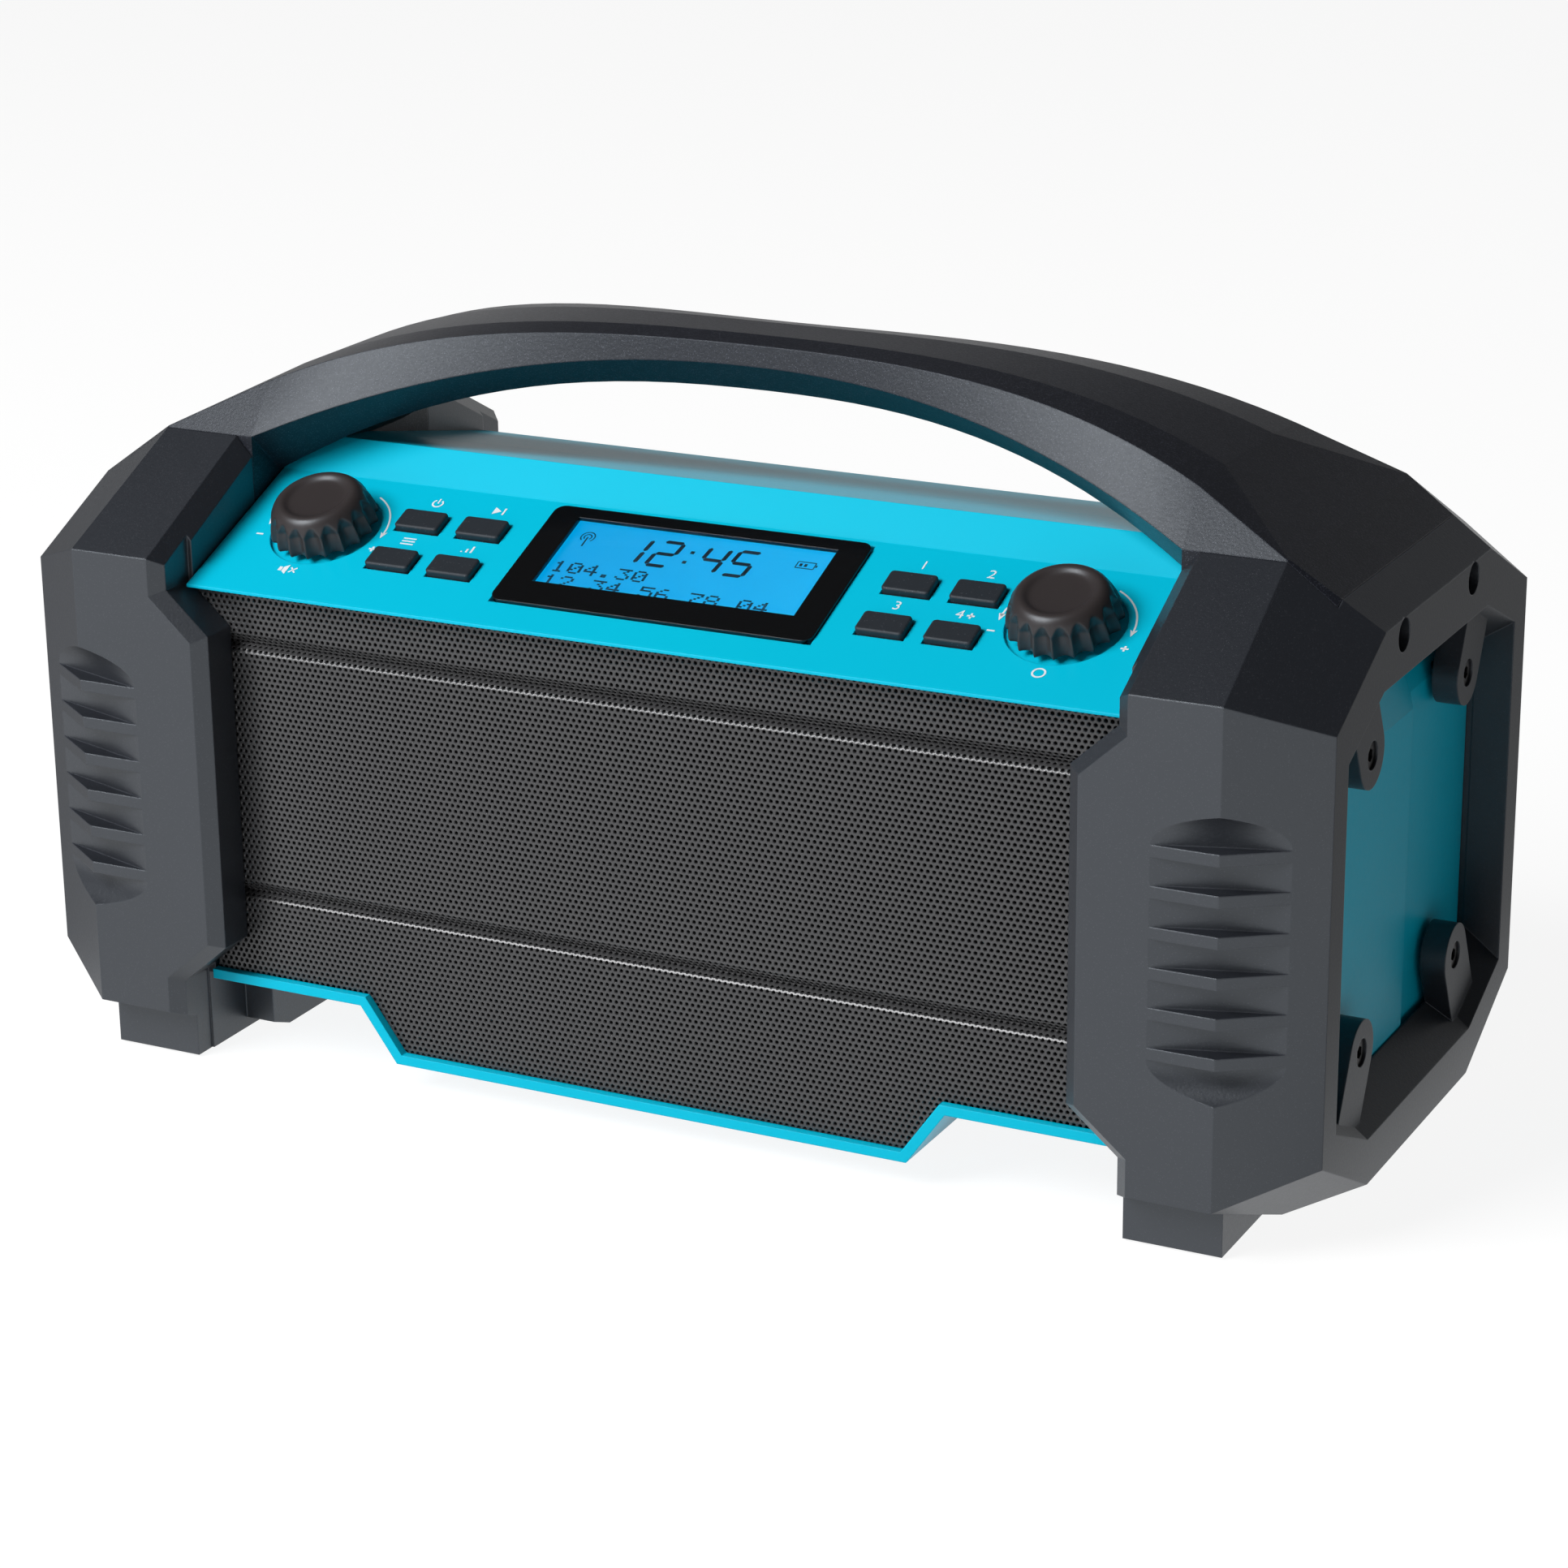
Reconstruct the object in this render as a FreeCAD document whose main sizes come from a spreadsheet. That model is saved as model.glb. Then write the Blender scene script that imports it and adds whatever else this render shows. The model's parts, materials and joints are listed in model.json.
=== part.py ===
import FreeCAD, Part
import math
import os
import Sketcher
from FreeCAD import Placement, Rotation, Vector

# Jobsite radio, millimetres. X runs along the long side, the front faces -Y, Z is up.
# The origin is on the ground, under the middle of the radio.

SIZES = {
    # Overall
    "overall_width": 320.0,
    "overall_depth": 155.0,
    "wall": 2.8,
    "fit_gap": 0.3,
    "screw_gap": 0.1,
    # Corner bumpers
    "ridge_inset": 19.4,
    "chamfer_depth": 13.6,
    "front_top": 124.4,
    "front_bottom": 13.4,
    "edge_top": 116.8,
    "edge_bottom": 21.6,
    "side_top": 130.9,
    "side_bottom": 6.2,
    "side_top_half": 35.4,
    "side_bottom_half": 34.2,
    "shoulder_top": 144.5,
    "shoulder_half": 38.8,
    "shoulder_inset": 20.1,
    "foot_level": 0.6,
    "foot_slope_run": 33.0,
    "heel_inset": 18.0,
    "foot_front": 6.6,
    "foot_inner_inset": 42.2,
    "foot_outer_inset": 19.1,
    "base_inset": 50.0,
    "base_setback": 26.4,
    "base_top": 19.0,
    "bumper_width": 44.0,
    "flange_depth": 12.2,
    "flange_inset": 53.6,
    "flange_top_inset": 42.9,
    "flange_notch_top": 116.6,
    "flange_wide_top": 106.9,
    "flange_wide_bottom": 31.0,
    "flange_notch_bottom": 20.9,
    "flange_bottom_inset": 41.7,
    "bumper_bevel": 3.0,
    # Finger grips on the bumper ridges
    "grip_low": 45.5,
    "grip_high": 93.0,
    "grip_run_out": 8.0,
    "grip_reach": 15.2,
    "grip_ribs": 6,
    "grip_rib_first": 46.9,
    "grip_rib_pitch": 8.95,
    "grip_rib_thick": 2.7,
    # Side windows, lugs and their screws
    "window_half": 56.0,
    "window_low": 17.0,
    "window_high": 118.0,
    "window_cut_y": 21.0,
    "window_cut_z": 9.5,
    "window_floor_low": 24.4,
    "window_floor_high": 112.0,
    "window_depth": 9.3,
    "lug_spread_y": 32.0,
    "lug_spread_z": 33.6,
    "lug_centre_z": 69.2,
    "lug_radius": 7.4,
    "lug_recess": 3.0,
    "lug_length": 24.0,
    "lug_screw_radius": 1.6,
    "lug_head_radius": 3.1,
    "lug_head_depth": 2.6,
    "lug_screw_length": 16.0,
    # Handle
    "handle_top": 171.8,
    "handle_top_half": 12.4,
    "handle_edge_top": 167.2,
    "handle_edge_half": 13.7,
    "handle_under": 160.3,
    "handle_under_half": 7.2,
    "handle_under_wall_half": 27.7,
    "handle_under_wall": 134.2,
    "handle_top_drop": 28.9,
    "handle_top_flare": 24.7,
    "handle_crown": 1.0,
    "handle_seat": 120.3,
    "handle_end_inset": 9.4,
    "handle_screw_y": 23.4,
    "handle_screw_z": 127.2,
    "handle_screw_radius": 2.0,
    "handle_head_radius": 3.6,
    "handle_head_inset": 14.0,
    "handle_screw_length": 24.0,
    # Housing, middle stretch
    "panel_angle": 22.6,
    "panel_lip_y": 9.1,
    "panel_lip_z": 116.7,
    "panel_crease_y": 51.0,
    "deck_slope": 45.0,
    "deck_crease_y": 58.2,
    "deck_back_z": 122.5,
    "back_inset": 12.5,
    "lip_inset": 10.6,
    "lip_height": 2.3,
    "bottom_level": 19.3,
    "keel_level": 6.3,
    "keel_half_low": 65.4,
    "keel_half_high": 74.7,
    "rim_inset": 13.7,
    "baffle_inset": 16.2,
    "baffle_rim": 5.0,
    "housing_split_y": 92.0,
    # Housing, ends inside the bumpers
    "end_half": 56.2,
    "end_low": 21.0,
    "end_high": 115.6,
    "end_cut_y": 20.0,
    "end_cut_z": 9.5,
    "end_step": 1.2,
    "end_slope_start": 99.0,
    "end_slope": 20.0,
    # Speaker grille
    "grille_inset": 12.5,
    "grille_sheet": 1.0,
    "grille_gap": 0.5,
    "grille_top": 115.7,
    "grille_ridge_high": 100.8,
    "grille_ridge_low": 40.1,
    "grille_groove_depth": 2.4,
    "grille_groove_rise": 4.6,
    "grille_groove_lip": 0.9,
    # Speakers
    "speaker_x": 60.0,
    "speaker_z": 71.0,
    "speaker_radius": 39.0,
    "cone_radius": 33.0,
    "cone_depth": 14.0,
    "basket_depth": 24.0,
    "magnet_radius": 25.0,
    "magnet_depth": 14.0,
    "gasket_thick": 1.0,
    # Display
    "display_width": 80.0,
    "display_height": 35.4,
    "display_along": 26.0,
    "display_rise": 0.8,
    "display_corner": 2.6,
    "window_width": 65.2,
    "window_height": 23.7,
    "window_along": 28.1,
    "lens_thick": 1.2,
    "lens_recess": 0.9,
    "lcd_thick": 4.0,
    # Buttons
    "button_width": 11.4,
    "button_height": 6.6,
    "button_rise": 1.6,
    "button_body": 4.6,
    "button_corner": 1.0,
    "button_travel": 1.0,
    "button_inner_x": 53.7,
    "button_outer_x": 69.8,
    "button_low_along": 17.2,
    "button_high_along": 31.6,
    "button_rim": 1.2,
    # Knobs
    "knob_inset": 23.2,
    "knob_along": 25.7,
    "knob_well_radius": 13.4,
    "knob_well_depth": 1.0,
    "knob_radius": 12.8,
    "knob_height": 9.2,
    "knob_shoulder": 9.6,
    "knob_dish_radius": 7.8,
    "knob_dish_depth": 1.0,
    "knob_flutes": 18,
    "knob_flute_radius": 1.35,
    "knob_travel": 1.0,
    "shaft_radius": 3.0,
    "shaft_length": 13.4,
    "encoder_size": 12.0,
    "encoder_height": 6.0,
    "plunger_radius": 1.5,
    "plunger_length": 4.0,
    # Boards
    "board_thick": 1.6,
    "board_drop": 9.5,
    "control_board_margin": 10.5,
    "control_board_height": 32.0,
    "switch_size": 6.0,
    "main_board_width": 66.0,
    "main_board_height": 46.0,
    "main_board_x": -48.0,
    "main_board_gap": 15.0,
    "main_board_low": 69.0,
    # Battery
    "cell_radius": 9.2,
    "cell_length": 65.2,
    "cell_count": 4,
    "battery_z": 36.0,
    "battery_y": 40.0,
    "door_width": 140.0,
    "door_height": 44.0,
    "door_thick": 2.2,
    "door_centre_z": 46.0,
    "door_screw_length": 7.0,
    # Sockets and their cover
    "socket_inset": 31.7,
    "socket_z": 62.0,
    "socket_pitch": 16.0,
    "dc_bore": 3.2,
    "aux_bore": 1.8,
    "socket_radius": 5.4,
    "socket_length": 14.0,
    "cover_width": 18.0,
    "cover_height": 16.0,
    "cover_thick": 3.0,
    "cover_hinge_radius": 1.6,
    # Folding rod antenna
    "antenna_inset": 19.7,
    "antenna_z": 112.0,
    "antenna_stand_off": 5.6,
    "antenna_radius": 3.4,
    "antenna_length": 158.0,
    "antenna_cap_radius": 4.0,
    "antenna_cap_length": 9.0,
    "antenna_rest_inset": 36.0,
    "antenna_rest_width": 9.0,
    "antenna_rest_height": 5.0,
    "knuckle_radius": 5.4,
    "knuckle_depth": 7.4,
    "pivot_radius": 1.6,
    "pivot_screw_depth": 5.0,
    # Feet pads and housing screws
    "pad_length": 18.0,
    "pad_width": 15.0,
    "pad_thick": 2.2,
    "pad_sink": 1.6,
    "housing_screw_radius": 1.5,
    "housing_screw_head": 3.0,
    "housing_screw_length": 20.0,
    "housing_screw_inset": 8.0,
}

doc = FreeCAD.newDocument("jobsite_radio")
sheet = doc.addObject("Spreadsheet::Sheet", "sizes")
for row, (alias, value) in enumerate(SIZES.items(), start=1):
    sheet.set("A%d" % row, alias)
    sheet.set("B%d" % row, str(value))
    sheet.setAlias("B%d" % row, alias)
doc.recompute()

NODES = []


def size(alias):
    """The value of one cell of the sheet."""
    return float(sheet.get(alias))


FRONT = -size("overall_depth") / 2
HALF_WIDTH = size("overall_width") / 2
PANEL = math.radians(size("panel_angle"))
BIG = 600.0


def from_end(alias):
    """How far from the middle a place lies that is measured in from the radio's end."""
    return HALF_WIDTH - size(alias)


def back_wall():
    """The depth of the housing's back face."""
    return -FRONT - size("back_inset")


def housing_half():
    """Half the width of the housing between the bumpers."""
    return from_end("bumper_width") - size("fit_gap")


def knob_x():
    """How far each knob stands from the middle."""
    return housing_half() - size("knob_inset")


def knob_lift():
    """How far a knob stands off the panel, so that a full press leaves a gap to its well."""
    return size("knob_travel") + size("fit_gap") - size("knob_well_depth")


def board_width():
    """The control board's width, past both knobs."""
    return 2 * (knob_x() + size("control_board_margin"))


def main_board_y():
    """The depth of the main board's middle plane."""
    return back_wall() - size("main_board_gap")


def socket_x():
    """How far the sockets lie from the middle."""
    return housing_half() - size("socket_inset")


def antenna_x():
    """How far the antenna's pivot lies from the middle."""
    return housing_half() - size("antenna_inset")


def antenna_y():
    """The depth of the antenna's centre line, behind the back wall."""
    return back_wall() + size("antenna_stand_off")


def node(obj, label):
    """Names an object as one piece of the radio."""
    obj.Label = label
    NODES.append(obj)
    return obj


def feature(shape, label, place=None):
    """A piece whose faceted shape no primitive or pad gives."""
    obj = doc.addObject("Part::Feature", label)
    obj.Shape = shape
    if place is not None:
        obj.Placement = place
    return node(obj, label)


# Shape helpers

def box_between(low, high):
    """An upright block between two corners."""
    return Part.makeBox(high[0] - low[0], high[1] - low[1], high[2] - low[2], Vector(*low))


def prism(points, direction):
    """A flat outline through the points, pushed along a direction."""
    wire = Part.makePolygon([Vector(*p) for p in points] + [Vector(*points[0])])
    return Part.Face(wire).extrude(Vector(*direction))


def beyond(point, normal):
    """The block that lies past a plane, on the side its normal points to."""
    block = Part.makeBox(BIG, BIG, BIG, Vector(-BIG / 2, -BIG / 2, 0))
    block.Placement = Placement(Vector(*point), Rotation(Vector(0, 0, 1), Vector(*normal)))
    return block


def plane_normal(first, second, third, inside):
    """The normal of a plane through three points, turned away from a point inside."""
    a, b, c, centre = Vector(*first), Vector(*second), Vector(*third), Vector(*inside)
    normal = (b - a).cross(c - a).normalize()
    if normal.dot(centre - a) > 0:
        normal = normal * -1
    return (normal.x, normal.y, normal.z)


def mirrored_y(shape):
    """The shape and its twin behind the middle plane, as one."""
    return [shape, shape.mirror(Vector(0, 0, 0), Vector(0, 1, 0))]


def other_end(shape):
    """The twin of a shape at the other end of the radio."""
    return shape.mirror(Vector(0, 0, 0), Vector(1, 0, 0))


def cylinder(radius, length, start, direction):
    """A round bar from a start point along a direction."""
    return Part.makeCylinder(radius, length, Vector(*start), Vector(*direction))


# Sketch helpers

def origin_plane(body, role):
    """One of a body's own origin planes."""
    return [f for f in body.Origin.OriginFeatures if f.Role == role][0]


def new_body(label):
    """An empty body that will be one piece."""
    return doc.addObject("PartDesign::Body", label)


def new_sketch(body, name, role="XY_Plane", offset=0.0):
    """A sketch on one of the body's origin planes."""
    sketch = body.newObject("Sketcher::SketchObject", name)
    sketch.AttachmentSupport = [(origin_plane(body, role), "")]
    sketch.MapMode = "FlatFace"
    sketch.AttachmentOffset = Placement(Vector(0, 0, offset), Rotation())
    return sketch


def bind(obj, prop, expression):
    """Ties a property to the sheet."""
    obj.setExpression(prop, expression)


def rectangle(body, name, width, height, role="XY_Plane", offset=0.0):
    """A centred rectangle whose sides are read from the sheet."""
    sketch = new_sketch(body, name, role, offset)
    corners = [(-1, -1), (1, -1), (1, 1), (-1, 1)]
    for i in range(4):
        a, b = corners[i], corners[(i + 1) % 4]
        sketch.addGeometry(Part.LineSegment(Vector(a[0], a[1], 0), Vector(b[0], b[1], 0)), False)
    for i in range(4):
        sketch.addConstraint(Sketcher.Constraint("Coincident", i, 2, (i + 1) % 4, 1))
    for i in (0, 2):
        sketch.addConstraint(Sketcher.Constraint("Horizontal", i))
    for i in (1, 3):
        sketch.addConstraint(Sketcher.Constraint("Vertical", i))
    sketch.addConstraint(Sketcher.Constraint("Symmetric", 0, 1, 2, 1, -1, 1))
    wide = sketch.addConstraint(Sketcher.Constraint("DistanceX", 0, 1, 0, 2, 2.0))
    tall = sketch.addConstraint(Sketcher.Constraint("DistanceY", 1, 1, 1, 2, 2.0))
    bind(sketch, "Constraints[%d]" % wide, width)
    bind(sketch, "Constraints[%d]" % tall, height)
    return sketch


def circle(body, name, radius, role="XY_Plane", offset=0.0):
    """A circle at the middle of the plane, its radius read from the sheet."""
    sketch = new_sketch(body, name, role, offset)
    sketch.addGeometry(Part.Circle(Vector(0, 0, 0), Vector(0, 0, 1), 1.0), False)
    sketch.addConstraint(Sketcher.Constraint("Coincident", 0, 3, -1, 1))
    ring = sketch.addConstraint(Sketcher.Constraint("Radius", 0, 1.0))
    bind(sketch, "Constraints[%d]" % ring, radius)
    return sketch


def outline(body, name, points, role="XZ_Plane"):
    """A closed outline through points that were worked out from the sheet."""
    sketch = new_sketch(body, name, role)
    for i, a in enumerate(points):
        b = points[(i + 1) % len(points)]
        sketch.addGeometry(Part.LineSegment(Vector(a[0], a[1], 0), Vector(b[0], b[1], 0)), False)
    return sketch


def pad(body, name, sketch, length, backwards=False):
    """Pushes a sketch into a solid."""
    part = body.newObject("PartDesign::Pad", name)
    part.Profile = sketch
    bind(part, "Length", length)
    part.Reversed = backwards
    doc.recompute()
    return part


def pocket(body, name, sketch, depth, backwards=False):
    """Cuts a sketch into the solid, and makes sure that it did."""
    before = body.Shape.Volume
    part = body.newObject("PartDesign::Pocket", name)
    part.Profile = sketch
    bind(part, "Length", depth)
    part.Reversed = backwards
    doc.recompute()
    if body.Shape.Volume >= before:
        raise ValueError("%s cuts nothing" % name)
    return part


def revolve(body, name, sketch):
    """Turns an outline round the sketch's upright axis."""
    part = body.newObject("PartDesign::Revolution", name)
    part.Profile = sketch
    part.ReferenceAxis = (sketch, ["V_Axis"])
    part.Angle = 360.0
    doc.recompute()
    return part


def upright_edges(shape, slack=1e-6):
    """Names of the edges that run along the sketch normal."""
    names = []
    for i, edge in enumerate(shape.Edges, start=1):
        if len(edge.Vertexes) == 2:
            run = edge.Vertexes[1].Point - edge.Vertexes[0].Point
            if abs(run.x) < slack and abs(run.y) < slack:
                names.append("Edge%d" % i)
    return names


def top_edges(shape, level, slack=1e-6):
    """Names of the edges that lie at one height."""
    names = []
    for i, edge in enumerate(shape.Edges, start=1):
        box = edge.BoundBox
        if abs(box.ZMin - level) < slack and abs(box.ZMax - level) < slack:
            names.append("Edge%d" % i)
    return names


def round_edges(body, name, base, names, radius):
    """Rounds the named edges."""
    part = body.newObject("PartDesign::Fillet", name)
    part.Base = (base, names)
    bind(part, "Radius", radius)
    doc.recompute()
    return part


# Places on the sloped control panel

def panel_point(across, along, rise=0.0):
    """A point on the control panel: across the radio, up the slope, and out of it."""
    y = FRONT + size("panel_lip_y") + along * math.cos(PANEL) - rise * math.sin(PANEL)
    z = size("panel_lip_z") + along * math.sin(PANEL) + rise * math.cos(PANEL)
    return Vector(across, y, z)


def panel_place(across, along, rise=0.0):
    """A placement whose Z axis stands square on the control panel."""
    return Placement(panel_point(across, along, rise), Rotation(Vector(1, 0, 0), size("panel_angle")))


# Corner bumpers

def bumper_faces():
    """Planes of the right bumper's front half, each as a point and an outward normal."""
    ridge, edge_y = from_end("ridge_inset"), FRONT + size("chamfer_depth")
    inside = (ridge - 10, 0, size("front_top") / 2)
    ridge_top = (ridge, FRONT, size("front_top"))
    ridge_low = (ridge, FRONT, size("front_bottom"))
    edge_top = (HALF_WIDTH, edge_y, size("edge_top"))
    edge_low = (HALF_WIDTH, edge_y, size("edge_bottom"))
    side_top = (HALF_WIDTH, -size("side_top_half"), size("side_top"))
    side_low = (HALF_WIDTH, -size("side_bottom_half"), size("side_bottom"))
    shoulder = (from_end("shoulder_inset"), -size("shoulder_half"), size("shoulder_top"))
    inner_shoulder = (0, -size("shoulder_half"), size("shoulder_top"))
    slope_foot = (ridge, FRONT + size("foot_slope_run"), size("foot_level"))
    inner_low = (0, FRONT, size("front_bottom"))
    heel = (from_end("heel_inset"), 0, size("foot_level"))
    level_heel = (from_end("heel_inset"), 10, size("foot_level"))
    level_top = (from_end("shoulder_inset"), 10, size("shoulder_top"))
    faces = [
        (ridge_top, edge_top, edge_low),
        (ridge_top, shoulder, inner_shoulder),
        (ridge_top, edge_top, side_top),
        (side_top, shoulder, level_top),
        (ridge_low, slope_foot, inner_low),
        (ridge_low, edge_low, side_low),
        (side_low, heel, level_heel),
    ]
    return [(f[0], plane_normal(*f, inside)) for f in faces]


def bumper_block():
    """The faceted outer form of the right bumper, without its foot."""
    block = box_between((from_end("flange_inset"), FRONT, size("foot_level")), (HALF_WIDTH, -FRONT, BIG / 3))
    for point, normal in bumper_faces():
        for tool in mirrored_y(beyond(point, normal)):
            block = block.cut(tool)
    return block


def foot_block():
    """The front and rear foot under the right bumper."""
    low = (from_end("foot_inner_inset"), FRONT + size("foot_front"), size("foot_level"))
    high = (from_end("foot_outer_inset"), FRONT + size("foot_slope_run"), size("front_bottom") + 2)
    return mirrored_y(box_between(low, high))


def flange_outline(shift, y):
    """The inner edge of the front flange, moved into the flange by shift, closed far inside."""
    corner_turn = shift * math.tan(math.radians(22.5))
    far = from_end("flange_inset") - 40
    points = [
        (from_end("flange_top_inset") + shift, y, BIG / 3),
        (from_end("flange_top_inset") + shift, y, size("flange_notch_top") - corner_turn),
        (from_end("flange_inset") + shift, y, size("flange_wide_top") - corner_turn),
        (from_end("flange_inset") + shift, y, size("flange_wide_bottom") + corner_turn),
        (from_end("flange_bottom_inset") + shift, y, size("flange_notch_bottom") + corner_turn),
        (from_end("flange_bottom_inset") + shift, y, -10),
        (far, y, -10),
        (far, y, BIG / 3),
    ]
    return Part.makePolygon([Vector(*p) for p in points] + [Vector(*points[0])])


def flange_cut():
    """What is open between the bumper's flanges, with the bevel along the flange's edge."""
    bevel = size("bumper_bevel")
    through = Part.Face(flange_outline(0.0, FRONT - 1)).extrude(Vector(0, size("flange_depth") + 1, 0))
    start, end = flange_outline(bevel, FRONT), flange_outline(0.0, FRONT + bevel)
    return mirrored_y(through.fuse(Part.makeLoft([start, end], True, True)))


def slope_bevel():
    """The bevel along the inner edge of the bumper's upper slope."""
    face = bumper_faces()[1]
    normal = Vector(*face[1])
    edge = Vector(from_end("flange_top_inset") + size("bumper_bevel"), FRONT, size("front_top"))
    turned = (normal + Vector(-1, 0, 0)).normalize()
    return mirrored_y(beyond((edge.x, edge.y, edge.z), (turned.x, turned.y, turned.z)))


def octagon(x, half, low, high, cut_y, cut_z):
    """An upright eight-sided outline across the radio's length."""
    return [
        (x, -half, low + cut_z), (x, -half + cut_y, low), (x, half - cut_y, low), (x, half, low + cut_z),
        (x, half, high - cut_z), (x, half - cut_y, high), (x, -half + cut_y, high), (x, -half, high - cut_z),
    ]


def end_prism(x_from, x_to, grow):
    """The housing's end, grown on every side by a clearance."""
    points = octagon(x_from, size("end_half") + grow, size("end_low") - grow, size("end_high") + grow,
                     size("end_cut_y"), size("end_cut_z"))
    return prism(points, (x_to - x_from, 0, 0))


def window_cut():
    """The side window, narrowing from the bumper's outer face down to the housing's end."""
    floor_x = HALF_WIDTH - size("window_depth")
    outer = octagon(HALF_WIDTH, size("window_half"), size("window_low"), size("window_high"),
                    size("window_cut_y"), size("window_cut_z"))
    inner = octagon(floor_x, size("window_half"), size("window_floor_low"), size("window_floor_high"),
                    size("window_cut_y"), size("window_cut_z"))
    wires = [Part.makePolygon([Vector(*p) for p in w] + [Vector(*w[0])]) for w in (inner, outer)]
    skin = prism(inner, (-size("fit_gap") * 2, 0, 0))
    past = prism(outer, (10, 0, 0))
    return Part.makeLoft(wires, True, True).fuse(skin).fuse(past)


def lug_centres():
    """The four screws of a side window, as places across the radio."""
    for side_y in (-1, 1):
        for side_z in (-1, 1):
            y = side_y * size("lug_spread_y")
            z = size("lug_centre_z") + side_z * size("lug_spread_z")
            yield side_y, side_z, y, z


def lug_solid(side_y, side_z, y, z):
    """One rounded tongue that reaches from the window's corner to its screw."""
    back = HALF_WIDTH - size("window_depth") + size("fit_gap")
    thick = HALF_WIDTH - size("lug_recess") - back
    radius, reach = size("lug_radius"), size("lug_length")
    lean = math.radians(26.0)
    run = Vector(0, side_y * math.sin(lean), side_z * math.cos(lean))
    across = Vector(0, run.z, -run.y) * radius
    centre = Vector(back, y, z)
    corners = [centre + across, centre + across + run * reach, centre - across + run * reach, centre - across]
    tongue = prism([tuple(p) for p in corners], (thick, 0, 0))
    return tongue.fuse(cylinder(radius, thick, (back, y, z), (1, 0, 0)))


def lugs():
    """The four tongues, cut to stay inside the window's own walls."""
    keep = end_prism(from_end("bumper_width"), HALF_WIDTH, 3.5)
    return [lug_solid(*place).common(keep) for place in lug_centres()]


def lug_bores():
    """The stepped holes through the tongues."""
    top = HALF_WIDTH - size("lug_recess")
    radius, head = size("lug_screw_radius") + size("screw_gap"), size("lug_head_radius") + size("screw_gap")
    bores = []
    for _, _, y, z in lug_centres():
        length = size("lug_screw_length") + size("lug_head_depth") + 2
        bores.append(cylinder(radius, BIG, (top - length, y, z), (1, 0, 0)))
        bores.append(cylinder(head, BIG, (top - size("lug_head_depth"), y, z), (1, 0, 0)))
    return bores


def handle_bores():
    """The deep stepped holes that take the handle's screws."""
    bores = []
    head_x = HALF_WIDTH - size("handle_head_inset")
    for side_y in (-1, 1):
        y, z = side_y * size("handle_screw_y"), size("handle_screw_z")
        bores.append(cylinder(size("handle_head_radius") + size("screw_gap"), BIG, (head_x, y, z), (1, 0, 0)))
        bores.append(cylinder(size("handle_screw_radius") + size("screw_gap"), BIG,
                              (head_x - size("handle_screw_length"), y, z), (1, 0, 0)))
    return bores


def grip_cut():
    """The finger grip cut across the bumper's ridge: a flat floor with round ends, and ribs across it."""
    ridge, reach, run = from_end("ridge_inset"), size("grip_reach"), size("grip_run_out")
    slant = math.hypot(size("ridge_inset"), size("chamfer_depth"))
    near = Vector(ridge - reach, FRONT, 0)
    share = reach / slant
    far = Vector(ridge + share * size("ridge_inset"), FRONT + share * size("chamfer_depth"), 0)
    along = (far - near).normalize()
    out = Vector(along.y, -along.x, 0)
    depth = out.dot(Vector(ridge, FRONT, 0) - near)
    radius = (run * run + depth * depth) / (2 * depth)
    low, high = size("grip_low"), size("grip_high")
    start, length = near - along * reach, along * (far - near).Length + along * 2 * reach
    corners = [start + Vector(0, 0, low), start + out * 2 * radius + Vector(0, 0, low),
               start + out * 2 * radius + Vector(0, 0, high), start + Vector(0, 0, high)]
    scoop = prism([tuple(c) for c in corners], tuple(length))
    for level in (low, high):
        centre = start + out * radius + Vector(0, 0, level)
        scoop = scoop.fuse(cylinder(radius, length.Length, tuple(centre), tuple(length)))
    for i in range(int(size("grip_ribs"))):
        mid = size("grip_rib_first") + i * size("grip_rib_pitch")
        half_rib = size("grip_rib_thick") / 2
        scoop = scoop.cut(box_between((0, FRONT - BIG, mid - half_rib), (BIG, 0, mid + half_rib)))
    return mirrored_y(scoop)


def pad_places():
    """The middle of each rubber pad under the right bumper, front then rear."""
    x = (from_end("foot_inner_inset") + from_end("foot_outer_inset")) / 2
    y = FRONT + (size("foot_front") + size("foot_slope_run")) / 2 + 1
    return [(x, y), (x, -y)]


def pad_pockets():
    """The shallow seats for the rubber pads."""
    half_x, half_y = size("pad_width") / 2 + size("screw_gap"), size("pad_length") / 2 + size("screw_gap")
    top = size("foot_level") + size("pad_sink")
    return [box_between((x - half_x, y - half_y, -1), (x + half_x, y + half_y, top)) for x, y in pad_places()]


def handle_seat_cut():
    """The rebate that takes the end of the handle."""
    gap = size("fit_gap") / 3
    half = size("shoulder_half") + gap
    low = (from_end("flange_inset") - 10, -half, size("handle_seat") - gap)
    return box_between(low, (from_end("handle_end_inset") + gap, half, BIG / 3))


def housing_room():
    """The room that the housing's middle and end take inside the right bumper."""
    gap = size("fit_gap")
    inner = FRONT + size("flange_depth")
    middle = box_between((from_end("flange_inset") - 10, inner, size("base_top")),
                         (from_end("bumper_width"), -inner, BIG / 3))
    under = FRONT + size("base_setback")
    below = box_between((from_end("flange_inset") - 10, -BIG, -10),
                        (from_end("base_inset"), BIG, size("base_top") + 1))
    front_low = box_between((from_end("flange_inset") - 10, FRONT - 1, -10),
                            (from_end("foot_inner_inset"), under, size("base_top") + 1))
    ends = end_prism(from_end("flange_inset") - 10, HALF_WIDTH - size("window_depth") + gap, gap)
    return [middle, below, ends] + mirrored_y(front_low)


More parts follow.
